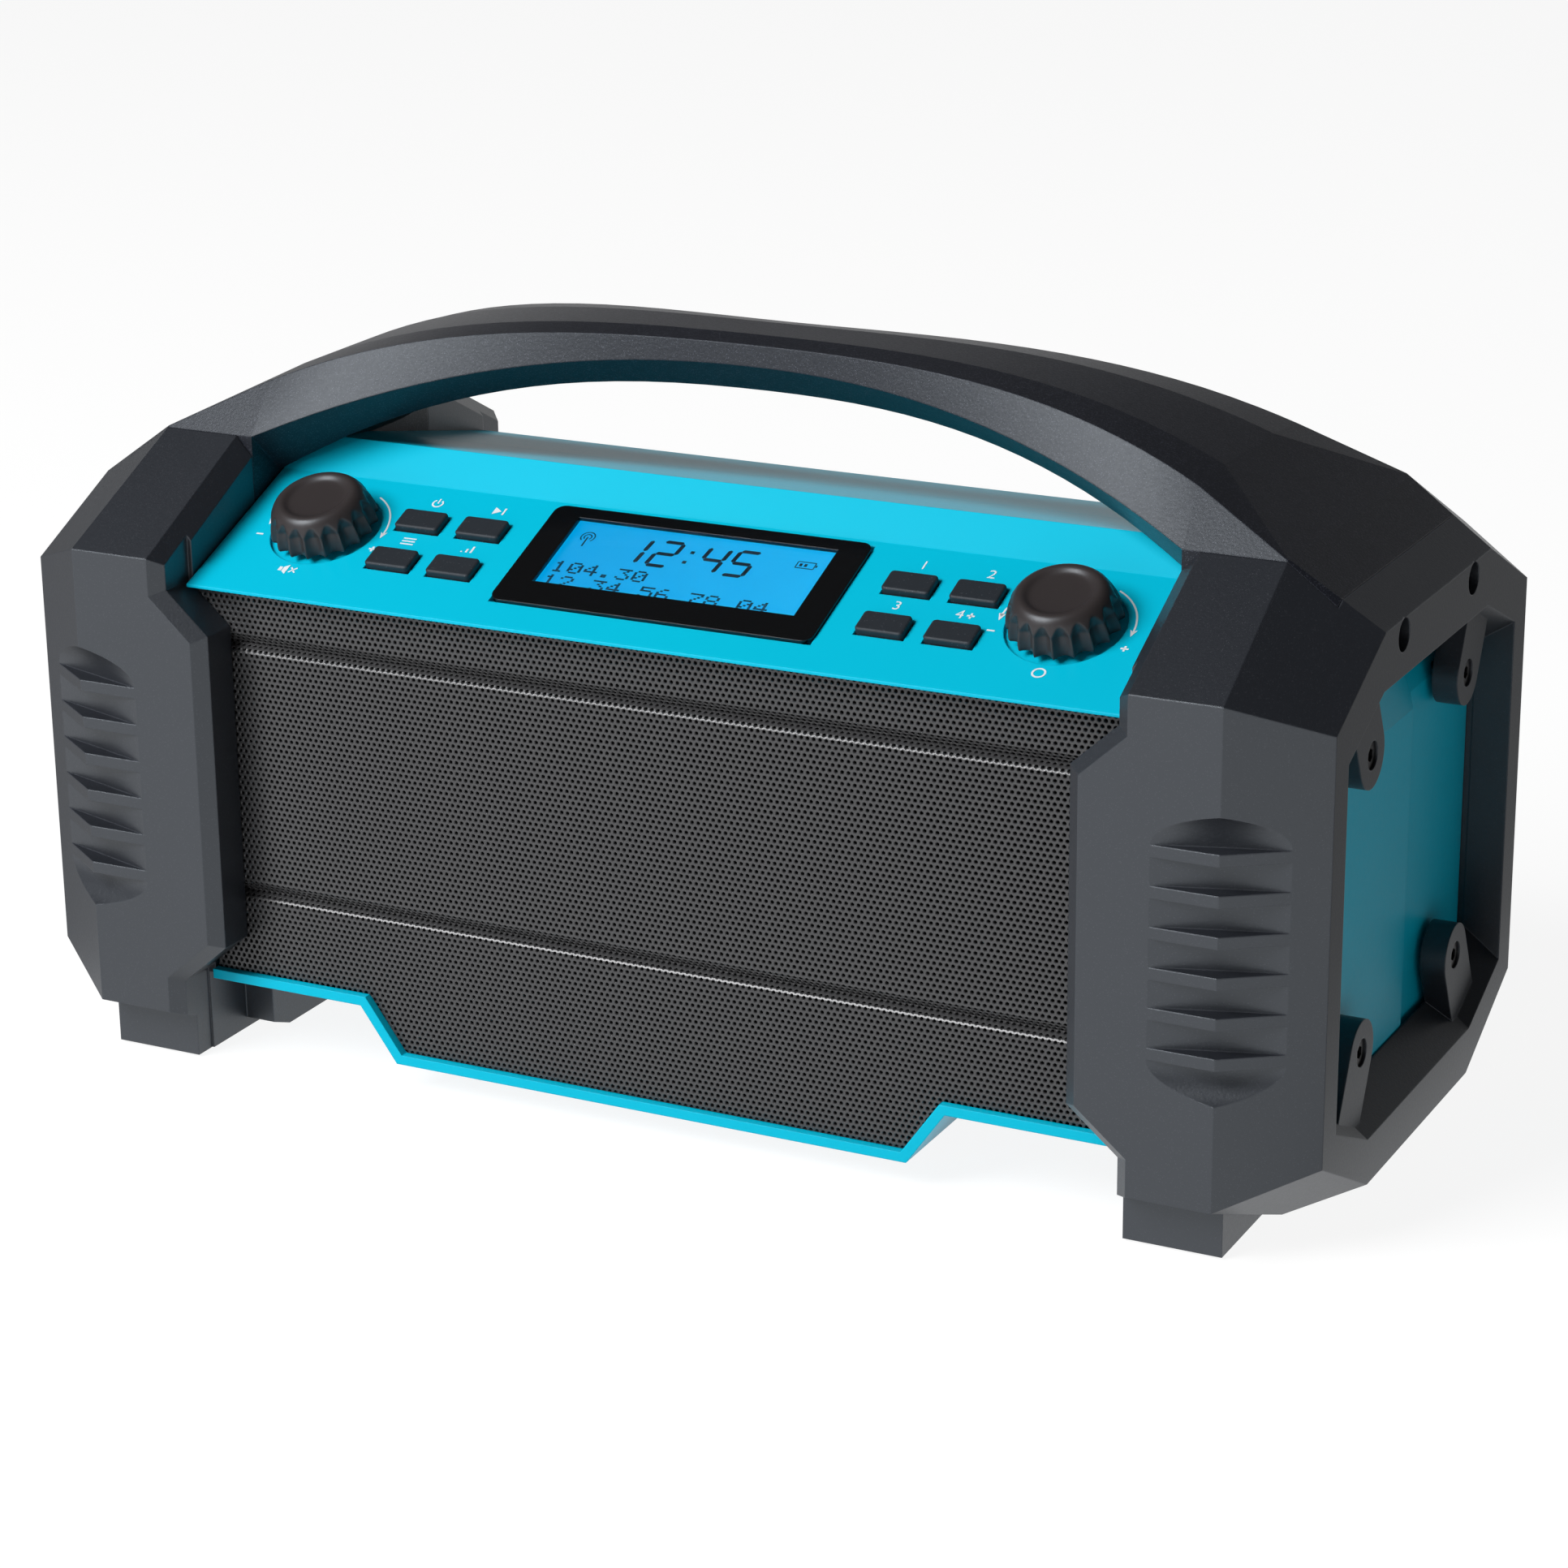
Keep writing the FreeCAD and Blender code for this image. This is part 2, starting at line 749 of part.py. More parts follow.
def right_bumper_shape():
    """The whole right bumper."""
    shape = bumper_block()
    for tool in slope_bevel():
        shape = shape.cut(tool)
    shape = shape.multiFuse(foot_block())
    tools = flange_cut() + housing_room() + [window_cut(), handle_seat_cut()]
    tools += grip_cut() + pad_pockets() + handle_bores()
    shape = shape.cut(tools)
    shape = shape.multiFuse(lugs())
    return shape.cut(lug_bores()).removeSplitter()


# Handle

def handle_section(x):
    """One cross-section of the handle: front to back over the top, then back underneath."""
    share = abs(x) / from_end("bumper_width")
    far = abs(x) / from_end("ridge_inset")
    top_z = size("handle_top") - size("handle_top_drop") * far ** 3.15
    top_half = size("handle_top_half") + size("handle_top_flare") * far ** 1.82
    edge_z = size("handle_edge_top") - (size("handle_edge_top") - size("shoulder_top")) * share ** 2.23
    edge_half = size("handle_edge_half") + (size("shoulder_half") - size("handle_edge_half")) * share ** 1.92
    under_z = size("handle_under") - (size("handle_under") - size("handle_under_wall")) * share ** 2.65
    under_half = size("handle_under_half")
    under_half += (size("handle_under_wall_half") - under_half) * share ** 1.92
    crown = size("handle_crown")
    return [
        (x, -edge_half, edge_z), (x, -top_half, top_z), (x, -top_half / 2, top_z + crown),
        (x, top_half / 2, top_z + crown), (x, top_half, top_z), (x, edge_half, edge_z),
        (x, under_half, under_z), (x, -under_half, under_z),
    ]


def handle_end_shape():
    """The block at the right end of the handle, which sits in the bumper's rebate."""
    wall_x, reach, end = from_end("bumper_width"), from_end("shoulder_inset"), from_end("handle_end_inset")
    half, seat = size("shoulder_half"), size("handle_seat")
    block = box_between((wall_x, -half, seat), (end, half, BIG / 3))
    section = handle_section(wall_x)
    inside = (wall_x + 5, 0, seat + 5)
    shoulder = (reach, -half, size("shoulder_top"))
    front_edge, top_edge, crown_edge = section[0], section[1], section[2]
    crown_back = (crown_edge[0], -crown_edge[1], crown_edge[2])
    roof = [crown_edge, crown_back, (reach, 0, size("shoulder_top"))]
    block = block.cut(beyond(roof[0], plane_normal(*roof, inside)))
    for face in ((front_edge, shoulder, top_edge), (top_edge, shoulder, crown_edge)):
        for tool in mirrored_y(beyond(face[0], plane_normal(*face, inside))):
            block = block.cut(tool)
    for index in (2, 3):
        point, normal = bumper_faces()[index]
        for tool in mirrored_y(beyond(point, normal)):
            block = block.cut(tool)
    return block


def handle_shape():
    """The arched bar with its two ends."""
    wall_x = from_end("bumper_width")
    stations = [wall_x * share for share in (-1, -0.86, -0.7, -0.48, -0.24, 0, 0.24, 0.48, 0.7, 0.86, 1)]
    wires = []
    for x in stations:
        points = [Vector(*p) for p in handle_section(x)]
        wires.append(Part.makePolygon(points + [points[0]]))
    bar = Part.makeLoft(wires, True, False)
    end = handle_end_shape()
    bores = handle_bores()
    deck = [(y, z + size("fit_gap")) for y, z in deck_outline()]
    under = [(deck[-1][0], size("handle_seat")), (deck[0][0], size("handle_seat"))]
    room = extrude_yz(deck + under, housing_half() + size("fit_gap"))
    shape = bar.multiFuse([end, other_end(end)]).cut(room)
    return shape.cut(bores + [other_end(b) for b in bores])


# Housing

def panel_z(y_from_front):
    """The height of the control panel's slope at a depth."""
    return size("panel_lip_z") + (y_from_front - size("panel_lip_y")) * math.tan(PANEL)


def deck_outline():
    """The sloped top of the housing, from the front lip to the back edge."""
    crease_y, top_y = size("panel_crease_y"), size("deck_crease_y")
    crease_z = panel_z(crease_y)
    top_z = crease_z + (top_y - crease_y) * math.tan(math.radians(size("deck_slope")))
    return [
        (FRONT + size("panel_lip_y"), size("panel_lip_z")),
        (FRONT + crease_y, crease_z),
        (FRONT + top_y, top_z),
        (back_wall(), size("deck_back_z")),
    ]


def extrude_yz(points, half):
    """A depth and height outline pushed across the radio, both ways from the middle."""
    return prism([(-half, y, z) for y, z in points], (2 * half, 0, 0))


def middle_outline():
    """The housing's outline between the bumpers, lips included."""
    bottom, back = size("bottom_level"), back_wall()
    lip_y, rim_y = FRONT + size("lip_inset"), FRONT + size("rim_inset")
    lip_top = bottom + size("lip_height")
    nose = size("grille_top") + size("fit_gap")
    lip_front = FRONT + size("panel_lip_y")
    return deck_outline() + [
        (back, bottom), (lip_y, bottom), (lip_y, lip_top), (rim_y, lip_top), (rim_y, nose), (lip_front, nose),
    ]


def keel_shape(depth_from, depth_to, inset, lower):
    """The trapezium that hangs under the middle of the housing."""
    low, high = size("keel_level") + lower, size("bottom_level") + lower
    half_low, half_high = size("keel_half_low") - inset, size("keel_half_high") - inset
    points = [(-half_low, depth_from, low), (half_low, depth_from, low),
              (half_high, depth_from, high), (-half_high, depth_from, high)]
    return prism(points, (0, depth_to - depth_from, 0))


def baffle_hollow():
    """The shallow space between the grille and the baffle."""
    rim, half = size("baffle_rim"), housing_half()
    y_from, y_to = FRONT + size("lip_inset"), FRONT + size("baffle_inset")
    low = size("bottom_level") + size("lip_height") + rim
    high = size("grille_top") - rim
    return box_between((-half + rim, y_from, low), (half - rim, y_to, high))


def groove_reliefs():
    """Room behind the grille's two pressed grooves, across the baffle's rim."""
    reliefs = []
    gap = size("fit_gap")
    for ridge in (size("grille_ridge_high"), size("grille_ridge_low")):
        low = (-housing_half(), FRONT + size("lip_inset"), ridge - size("grille_sheet") - gap)
        top = ridge + size("grille_groove_rise") + size("grille_sheet") + gap
        reliefs.append(box_between(low, (housing_half(), FRONT + size("baffle_inset"), top)))
    return reliefs


def keel_front():
    """The step that lets the grille run down over the keel."""
    lip = size("lip_height")
    y_from, y_to = FRONT + size("lip_inset") - 1, FRONT + size("rim_inset")
    return keel_shape(y_from, y_to, lip * 0.6, lip)


def housing_outside():
    """The whole outer form of the housing."""
    body = extrude_yz(middle_outline(), housing_half())
    back = back_wall()
    keel = keel_shape(FRONT + size("lip_inset"), back, 0.0, 0.0)
    ends = end_prism(-HALF_WIDTH + size("window_depth"), HALF_WIDTH - size("window_depth"), 0.0)
    body = body.cut(keel_front()).fuse(keel.cut(keel_front())).fuse(ends)
    return body.cut([baffle_hollow()] + groove_reliefs())


def housing_cavity():
    """The inner space of the housing, one wall inside its outer form."""
    wall = size("wall")
    deck = deck_outline()
    back, front = back_wall(), FRONT + size("baffle_inset")
    front_z = panel_z(size("baffle_inset"))
    ring = [(front, front_z)] + deck[1:] + [(back, size("bottom_level")), (front, size("bottom_level"))]
    wire = Part.makePolygon([Vector(0, y, z) for y, z in ring] + [Vector(0, *ring[0])])
    inner = wire.makeOffset2D(-wall, 2)
    half = housing_half() - wall
    inner.translate(Vector(-half, 0, 0))
    middle = Part.Face(inner).extrude(Vector(2 * half, 0, 0))
    end_x = HALF_WIDTH - size("window_depth") - wall
    return middle.fuse(end_prism(-end_x, end_x, -wall))


def end_trims():
    """What is taken off the housing's two ends: the top slope and the step behind the split."""
    face, step = HALF_WIDTH - size("window_depth"), size("end_step")
    split = FRONT + size("housing_split_y")
    lean = math.radians(size("end_slope"))
    slope = beyond((face, 0, size("end_slope_start")), (math.cos(lean), 0, math.sin(lean)))
    rear = box_between((face - step, split, -10), (face + 10, BIG, BIG / 3))
    bevel = prism([(face - step, split, -10), (face + 1, split, -10), (face + 1, split - step - 1, -10)],
                  (0, 0, BIG / 3))
    tools = [slope, rear, bevel]
    return tools + [other_end(t) for t in tools]


def display_cut():
    """The opening that the display sits in."""
    width, height = size("display_width"), size("display_height")
    rim = size("button_rim")
    corner = Vector(-width / 2 + rim, -height / 2 + rim, -10)
    block = Part.makeBox(width - 2 * rim, height - 2 * rim, 12, corner)
    seat = Part.makeBox(width, height, 10, Vector(-width / 2, -height / 2, -1.2))
    shape = block.fuse(seat)
    shape.Placement = panel_place(0, size("display_along"))
    return shape


def button_places():
    """Name and place of each button on the panel."""
    inner, outer = size("button_inner_x"), size("button_outer_x")
    high, low = size("button_high_along"), size("button_low_along")
    return [
        ("power_button", -outer, high), ("mode_button", -inner, high),
        ("menu_button", -outer, low), ("tone_button", -inner, low),
        ("preset_1_button", inner, high), ("preset_2_button", outer, high),
        ("preset_3_button", inner, low), ("preset_4_button", outer, low),
    ]


def knob_places():
    """Name and place of each knob on the panel."""
    return [("volume", -knob_x()), ("tuning", knob_x())]


def panel_cuts():
    """The button holes and the wells and bores of the knobs."""
    gap = size("fit_gap")
    cuts = [display_cut()]
    for _, x, along in button_places():
        width, height = size("button_width") + 2 * gap, size("button_height") + 2 * gap
        hole = Part.makeBox(width, height, 20, Vector(-width / 2, -height / 2, -12))
        hole.Placement = panel_place(x, along)
        cuts.append(hole)
    for _, x in knob_places():
        well = Part.makeCylinder(size("knob_well_radius"), 10, Vector(0, 0, -size("knob_well_depth")))
        bore = Part.makeCylinder(size("shaft_radius") + gap, 20, Vector(0, 0, -12))
        for tool in (well, bore):
            tool.Placement = panel_place(x, size("knob_along"))
            cuts.append(tool)
    return cuts


def speaker_cuts():
    """The round openings in the baffle."""
    radius = size("cone_radius") + 1.5
    start = FRONT + size("lip_inset")
    return [cylinder(radius, 20, (side * size("speaker_x"), start, size("speaker_z")), (0, 1, 0))
            for side in (-1, 1)]


def housing_screw_places():
    """Where the rear shell is screwed to the front shell."""
    x_out = housing_half() - size("housing_screw_inset")
    low = size("bottom_level") + size("housing_screw_inset")
    high = size("end_high") - size("housing_screw_inset") * 1.4
    return [(-x_out, low), (x_out, low), (-x_out, high), (x_out, high), (0, high)]


def housing_posts():
    """Screw posts inside the front shell, reaching to the split."""
    radius = size("housing_screw_radius") + 2.4
    start = FRONT + size("baffle_inset") + size("wall") / 2
    length = FRONT + size("housing_split_y") - start
    return [cylinder(radius, length, (x, start, z), (0, 1, 0)) for x, z in housing_screw_places()]


def rear_posts():
    """Screw posts inside the rear shell, from its back wall to the split."""
    radius = size("housing_screw_radius") + 2.4
    start = FRONT + size("housing_split_y")
    length = back_wall() - size("wall") / 2 - start
    return [cylinder(radius, length, (x, start, z), (0, 1, 0)) for x, z in housing_screw_places()]


def housing_screw_bores():
    """The holes of the housing screws, with their sunk heads at the back."""
    back = back_wall()
    gap = size("screw_gap")
    tip = FRONT + size("housing_split_y") - size("housing_screw_length") / 2
    bores = []
    for x, z in housing_screw_places():
        head_y = tip + size("housing_screw_length")
        bores.append(cylinder(size("housing_screw_radius") + gap, BIG, (x, tip, z), (0, 1, 0)))
        bores.append(cylinder(size("housing_screw_head") + gap, back - head_y + 5, (x, head_y, z), (0, 1, 0)))
    return bores


def end_screw_bores():
    """The holes in the housing's ends for the bumper screws."""
    bores = lug_bores()
    return bores + [other_end(b) for b in bores]


def housing_shell():
    """The hollow housing before it is split."""
    shell = housing_outside().cut(end_trims()).cut(housing_cavity())
    return shell.cut(panel_cuts() + speaker_cuts() + end_screw_bores())


def split_block(front):
    """The half of space that one shell keeps."""
    split = FRONT + size("housing_split_y")
    if front:
        return box_between((-BIG / 2, -BIG / 2, -BIG / 2), (BIG / 2, split - 0.05, BIG / 2))
    return box_between((-BIG / 2, split + 0.05, -BIG / 2), (BIG / 2, BIG / 2, BIG / 2))


def display_post_block():
    """Ribs under the panel that the control board screws to."""
    drop = size("board_drop")
    ribs = []
    for x in (-board_width() / 2 + 1.5, board_width() / 2 - 1.5):
        rib = Part.makeBox(4, 8, drop - 2, Vector(-2, -4, -drop))
        rib.Placement = panel_place(x, size("display_along"))
        ribs.append(rib)
    return ribs


def front_housing_shape(shell):
    """The front shell: panel, lips, baffle and posts."""
    shape = shell.common(split_block(True))
    shape = shape.multiFuse(housing_posts() + display_post_block())
    return shape.cut(housing_screw_bores())


def board_bosses():
    """Short bosses on the back wall that carry the main board."""
    start = main_board_y() + size("board_thick") / 2
    length = back_wall() - size("wall") / 2 - start
    reach = size("main_board_width") / 2 - 5
    low, high = size("main_board_low") + 5, size("main_board_low") + size("main_board_height") - 5
    return [cylinder(3.0, length, (size("main_board_x") + dx, start, z), (0, 1, 0))
            for dx in (-reach, reach) for z in (low, high)]


def door_cut():
    """The rebate and opening of the battery door in the back wall."""
    back = back_wall()
    half_x, half_z = size("door_width") / 2 + size("fit_gap"), size("door_height") / 2 + size("fit_gap")
    centre, rim = size("door_centre_z"), 3.0
    seat = box_between((-half_x, back - size("door_thick") / 2, centre - half_z),
                       (half_x, back + 2, centre + half_z))
    hole = box_between((-half_x + rim, back - 8, centre - half_z + rim),
                       (half_x - rim, back + 2, centre + half_z - rim))
    return [seat, hole]


def socket_places():
    """Name, bore radius and height of each socket on the back."""
    top = size("socket_z") + size("socket_pitch") / 2
    return [("dc_socket", size("dc_bore"), top), ("aux_socket", size("aux_bore"), top - size("socket_pitch"))]


def socket_cuts():
    """The holes for the sockets, and the groove of their cover's hinge."""
    back = back_wall()
    radius = size("socket_radius") + size("screw_gap")
    return [cylinder(radius, 20, (socket_x(), back - 10, z), (0, 1, 0)) for _, _, z in socket_places()]


def pivot_post():
    """The boss on the back wall that carries the antenna's pivot."""
    back = back_wall()
    x, z = -antenna_x(), size("antenna_z")
    face = antenna_y() - size("knuckle_depth") / 2 - size("fit_gap")
    return cylinder(size("knuckle_radius"), face - back + 1, (x, back - 1, z), (0, 1, 0))


def pivot_bore():
    """The hole for the pivot screw."""
    back = back_wall()
    radius = size("pivot_radius") + size("screw_gap")
    start = back - size("pivot_screw_depth") - 1
    return cylinder(radius, BIG, (-antenna_x(), start, size("antenna_z")), (0, 1, 0))


def rear_housing_shape(shell):
    """The rear shell: back wall, battery opening, socket holes and antenna mounts."""
    shape = shell.common(split_block(False))
    shape = shape.multiFuse(rear_posts() + board_bosses() + [pivot_post()])
    return shape.cut(door_cut() + socket_cuts() + housing_screw_bores() + [pivot_bore()])


# Speaker grille

def grille_outline():
    """Depth and height line down the face of the formed sheet, top to bottom."""
    face = FRONT + size("grille_inset")
    deep = face + size("grille_groove_depth")
    line = [(face, size("grille_top"))]
    for ridge in (size("grille_ridge_high"), size("grille_ridge_low")):
        line += [(face, ridge + size("grille_groove_rise")), (deep, ridge + size("grille_groove_lip")),
                 (face, ridge)]
    line.append((face, size("keel_level") + size("lip_height")))
    return line


def grille_shape():
    """The formed sheet, trimmed to the opening that it fills."""
    front = grille_outline()
    back = [(y + size("grille_sheet"), z) for y, z in reversed(front)]
    half = housing_half() - size("grille_gap")
    sheet_solid = extrude_yz(front + back, half)
    gap, lip = size("fit_gap") / 2, size("lip_height")
    low, high = size("keel_level") + lip + gap, size("bottom_level") + lip + gap
    half_low, half_high = size("keel_half_low") - lip * 0.6 - gap, size("keel_half_high") - lip * 0.6 - gap
    top = size("grille_top")
    points = [(-half, high), (-half_high, high), (-half_low, low), (half_low, low),
              (half_high, high), (half, high), (half, top), (-half, top)]
    trim = prism([(x, FRONT, z) for x, z in points], (0, size("baffle_inset"), 0))
    return sheet_solid.common(trim)


# Turned and boxed pieces

def knob_body(label, x):
    """A domed knob with a dished top and flutes round its skirt."""
    body = new_body(label)
    outer, top, lift = size("knob_radius"), size("knob_height"), 0.0
    dish, sink, shoulder = size("knob_dish_radius"), size("knob_dish_depth"), size("knob_shoulder")
    bore, deep = size("shaft_radius") - 0.8, size("knob_height") - 3.0
    points = [
        (bore, lift), (outer, lift), (outer - 0.5, top * 0.45), (outer - 1.5, top * 0.75),
        (shoulder, top), (dish, top), (dish - 1.6, top - sink), (0, top - sink), (0, deep), (bore, deep),
    ]
    base = outline(body, label + "_profile", points)
    revolve(body, label + "_turned", base)
    groove = new_sketch(body, label + "_flute", "XY_Plane")
    groove.addGeometry(Part.Circle(Vector(outer + size("knob_flute_radius") * 0.35, 0, 0),
                                   Vector(0, 0, 1), size("knob_flute_radius")), False)
    cut = body.newObject("PartDesign::Pocket", label + "_groove")
    cut.Profile = groove
    cut.Length = top * 0.72
    cut.Reversed = True
    doc.recompute()
    ring = body.newObject("PartDesign::PolarPattern", label + "_flutes")
    ring.Originals = [cut]
    ring.Axis = (groove, ["N_Axis"])
    ring.Angle = 360.0
    bind(ring, "Occurrences", "sizes.knob_flutes")
    body.Tip = ring
    body.Placement = panel_place(x, size("knob_along"), knob_lift())
    return node(body, label)


def shaft_body(label, x):
    """The shaft that the knob is pressed on."""
    body = new_body(label)
    pad(body, label + "_pad", circle(body, label + "_ring", "sizes.shaft_radius - 0.8"),
        "sizes.shaft_length")
    rise = size("knob_height") - 3.0 + knob_lift() - size("shaft_length")
    body.Placement = panel_place(x, size("knob_along"), rise)
    return node(body, label)


def encoder_body(label, x):
    """The square body of a rotary encoder, bored for its shaft."""
    body = new_body(label)
    pad(body, label + "_pad", rectangle(body, label + "_square", "sizes.encoder_size", "sizes.encoder_size"),
        "sizes.encoder_height")
    pocket(body, label + "_bore", circle(body, label + "_hole", "sizes.shaft_radius - 0.5"),
           "sizes.encoder_height", True)
    rise = -size("board_drop")
    body.Placement = panel_place(x, size("knob_along"), rise)
    return node(body, label)


def plunger_body(label, x):
    """The push switch's plunger, under the shaft."""
    body = new_body(label)
    pad(body, label + "_pad", circle(body, label + "_ring", "sizes.plunger_radius"), "sizes.plunger_length")
    shaft_foot = size("knob_height") - 3.0 + knob_lift() - size("shaft_length")
    rise = shaft_foot - size("fit_gap") / 3 - size("plunger_length")
    body.Placement = panel_place(x, size("knob_along"), rise)
    return node(body, label)


def button_body(label, x, along):
    """A soft button with rounded corners and a rim under the panel."""
    body = new_body(label)
    block = pad(body, label + "_pad",
                rectangle(body, label + "_top", "sizes.button_width", "sizes.button_height"),
                "sizes.button_body")
    corners = round_edges(body, label + "_corners", block, upright_edges(block.Shape), "sizes.button_corner")
    level = size("button_body")
    round_edges(body, label + "_crown", corners, top_edges(corners.Shape, level), "sizes.button_corner * 0.5")
    body.Placement = panel_place(x, along, size("button_rise") - size("button_body"))
    return node(body, label)


def boxed(label, width, depth, height, place):
    """A plain block whose three sides are read from the sheet, centred on its place."""
    obj = doc.addObject("Part::Box", label)
    bind(obj, "Length", width)
    bind(obj, "Width", depth)
    bind(obj, "Height", height)
    doc.recompute()
    shift = Vector(-obj.Length.Value / 2, -obj.Width.Value / 2, 0)
    obj.Placement = place.multiply(Placement(shift, Rotation()))
    return obj


def grouped(label, parts):
    """Identical pieces kept together as separate solids."""
    return feature(Part.makeCompound(parts), label)


def display_pieces():
    """The bezel, its window lens and the panel behind it."""
    along = size("display_along")
    shift = size("window_along") - along
    width, height, corner = size("display_width"), size("display_height"), size("display_corner")
    gap = size("screw_gap")
    frame = Part.makeBox(width - 2 * gap, height - 2 * gap, size("display_rise") + 1.0,
                         Vector(-width / 2 + gap, -height / 2 + gap, -1.0))
    posts = [e for e in frame.Edges if abs(e.BoundBox.XLength) < 1e-6 and abs(e.BoundBox.YLength) < 1e-6]
    frame = frame.makeFillet(corner, posts)
    win_w, win_h = size("window_width"), size("window_height")
    hole = Part.makeBox(win_w, win_h, 10, Vector(-win_w / 2, -win_h / 2 + shift, -5))
    seat = Part.makeBox(win_w + 3, win_h + 3, 5, Vector(-win_w / 2 - 1.5, -win_h / 2 - 1.5 + shift,
                                                        size("display_rise") - size("lens_recess") - 5))
    bezel = frame.cut(hole.fuse(seat))
    feature(bezel, "display_bezel", panel_place(0, along))
    lens = boxed("display_lens", "sizes.window_width + 2.6", "sizes.window_height + 2.6", "sizes.lens_thick",
                 panel_place(0, size("window_along"),
                             size("display_rise") - size("lens_recess") - size("lens_thick") - gap))
    node(lens, "display_lens")
    lcd = boxed("lcd_module", "sizes.window_width + 4", "sizes.window_height + 4", "sizes.lcd_thick",
                panel_place(0, size("window_along"), size("display_rise") - size("lens_recess")
                            - size("lens_thick") - 2 * gap - size("lcd_thick")))
    node(lcd, "lcd_module")


def board_pieces():
    """The control board under the panel, its switches, and the main board."""
    drop, thick = size("board_drop"), size("board_thick")
    board = Part.makeBox(board_width(), size("control_board_height"), thick,
                         Vector(-board_width() / 2, -size("control_board_height") / 2, 0))
    board.Placement = panel_place(0, size("display_along"), -drop - thick - 0.05)
    cuts = []
    for _, x in knob_places():
        hole = Part.makeCylinder(size("plunger_radius") + size("fit_gap"), 10, Vector(0, 0, -5))
        hole.Placement = panel_place(x, size("knob_along"), -drop)
        cuts.append(hole)
    feature(board.cut(cuts), "control_board")
    switches = []
    under = size("button_rise") - size("button_body") - size("button_travel") - size("fit_gap")
    for _, x, along in button_places():
        switch = Part.makeBox(size("switch_size"), size("switch_size"), under + drop,
                              Vector(-size("switch_size") / 2, -size("switch_size") / 2, 0))
        switch.Placement = panel_place(x, along, -drop)
        switches.append(switch)
    grouped("tact_switches", switches)
    main = boxed("main_board", "sizes.main_board_width", "sizes.board_thick", "sizes.main_board_height",
                 Placement(Vector(size("main_board_x"), main_board_y(), size("main_board_low")), Rotation()))
    node(main, "main_board")


def speaker_pieces(label, side):
    """Basket, cone, magnet of one loudspeaker, turned round an axis that faces the front."""
    centre = Vector(side * size("speaker_x"), FRONT + size("baffle_inset") + size("wall"), size("speaker_z"))
    place = Placement(centre, Rotation(Vector(1, 0, 0), -90))
    outer, cone, deep = size("speaker_radius"), size("cone_radius"), size("basket_depth")
    thick, gasket = 1.2, size("gasket_thick")
    neck = size("magnet_radius") * 0.8
    body = new_body(label + "_basket")
    points = [(cone + 1, gasket), (outer, gasket), (outer, gasket + thick), (cone + 3, gasket + thick),
              (neck + thick, deep), (neck * 0.5, deep), (neck * 0.5, deep - thick), (neck, deep - thick),
              (cone + 1, gasket + thick)]
    revolve(body, label + "_basket_turned", outline(body, label + "_basket_line", points))
    body.Placement = place
    node(body, label + "_basket")
    diaphragm = new_body(label + "_cone")
    rim, coil, fall = cone + 0.4, 9.0, size("cone_depth")
    points = [(0, fall - 4), (coil, fall), (rim - 6, 1.5), (rim - 3, 0.2), (rim, 1.5), (rim, 2.5),
              (rim - 3, 1.2), (rim - 6, 2.5), (coil, fall + 1), (0, fall - 3)]
    revolve(diaphragm, label + "_cone_turned", outline(diaphragm, label + "_cone_line", points))
    diaphragm.Placement = place
    node(diaphragm, label + "_cone")
    magnet = new_body(label + "_magnet")
    pad(magnet, label + "_magnet_pad", circle(magnet, label + "_magnet_ring", "sizes.magnet_radius"),
        "sizes.magnet_depth")
    magnet.Placement = place.multiply(Placement(Vector(0, 0, deep + 0.05), Rotation()))
    node(magnet, label + "_magnet")


def gasket_pieces():
    """The soft rings between the baskets and the baffle."""
    rings = []
    y = FRONT + size("baffle_inset") + size("wall")
    for side in (-1, 1):
        x, z = side * size("speaker_x"), size("speaker_z")
        outer = cylinder(size("speaker_radius"), size("gasket_thick") - 0.05, (x, y, z), (0, 1, 0))
        inner = cylinder(size("cone_radius") + 2, 5, (x, y - 1, z), (0, 1, 0))
        rings.append(outer.cut(inner))
    grouped("speaker_gaskets", rings)


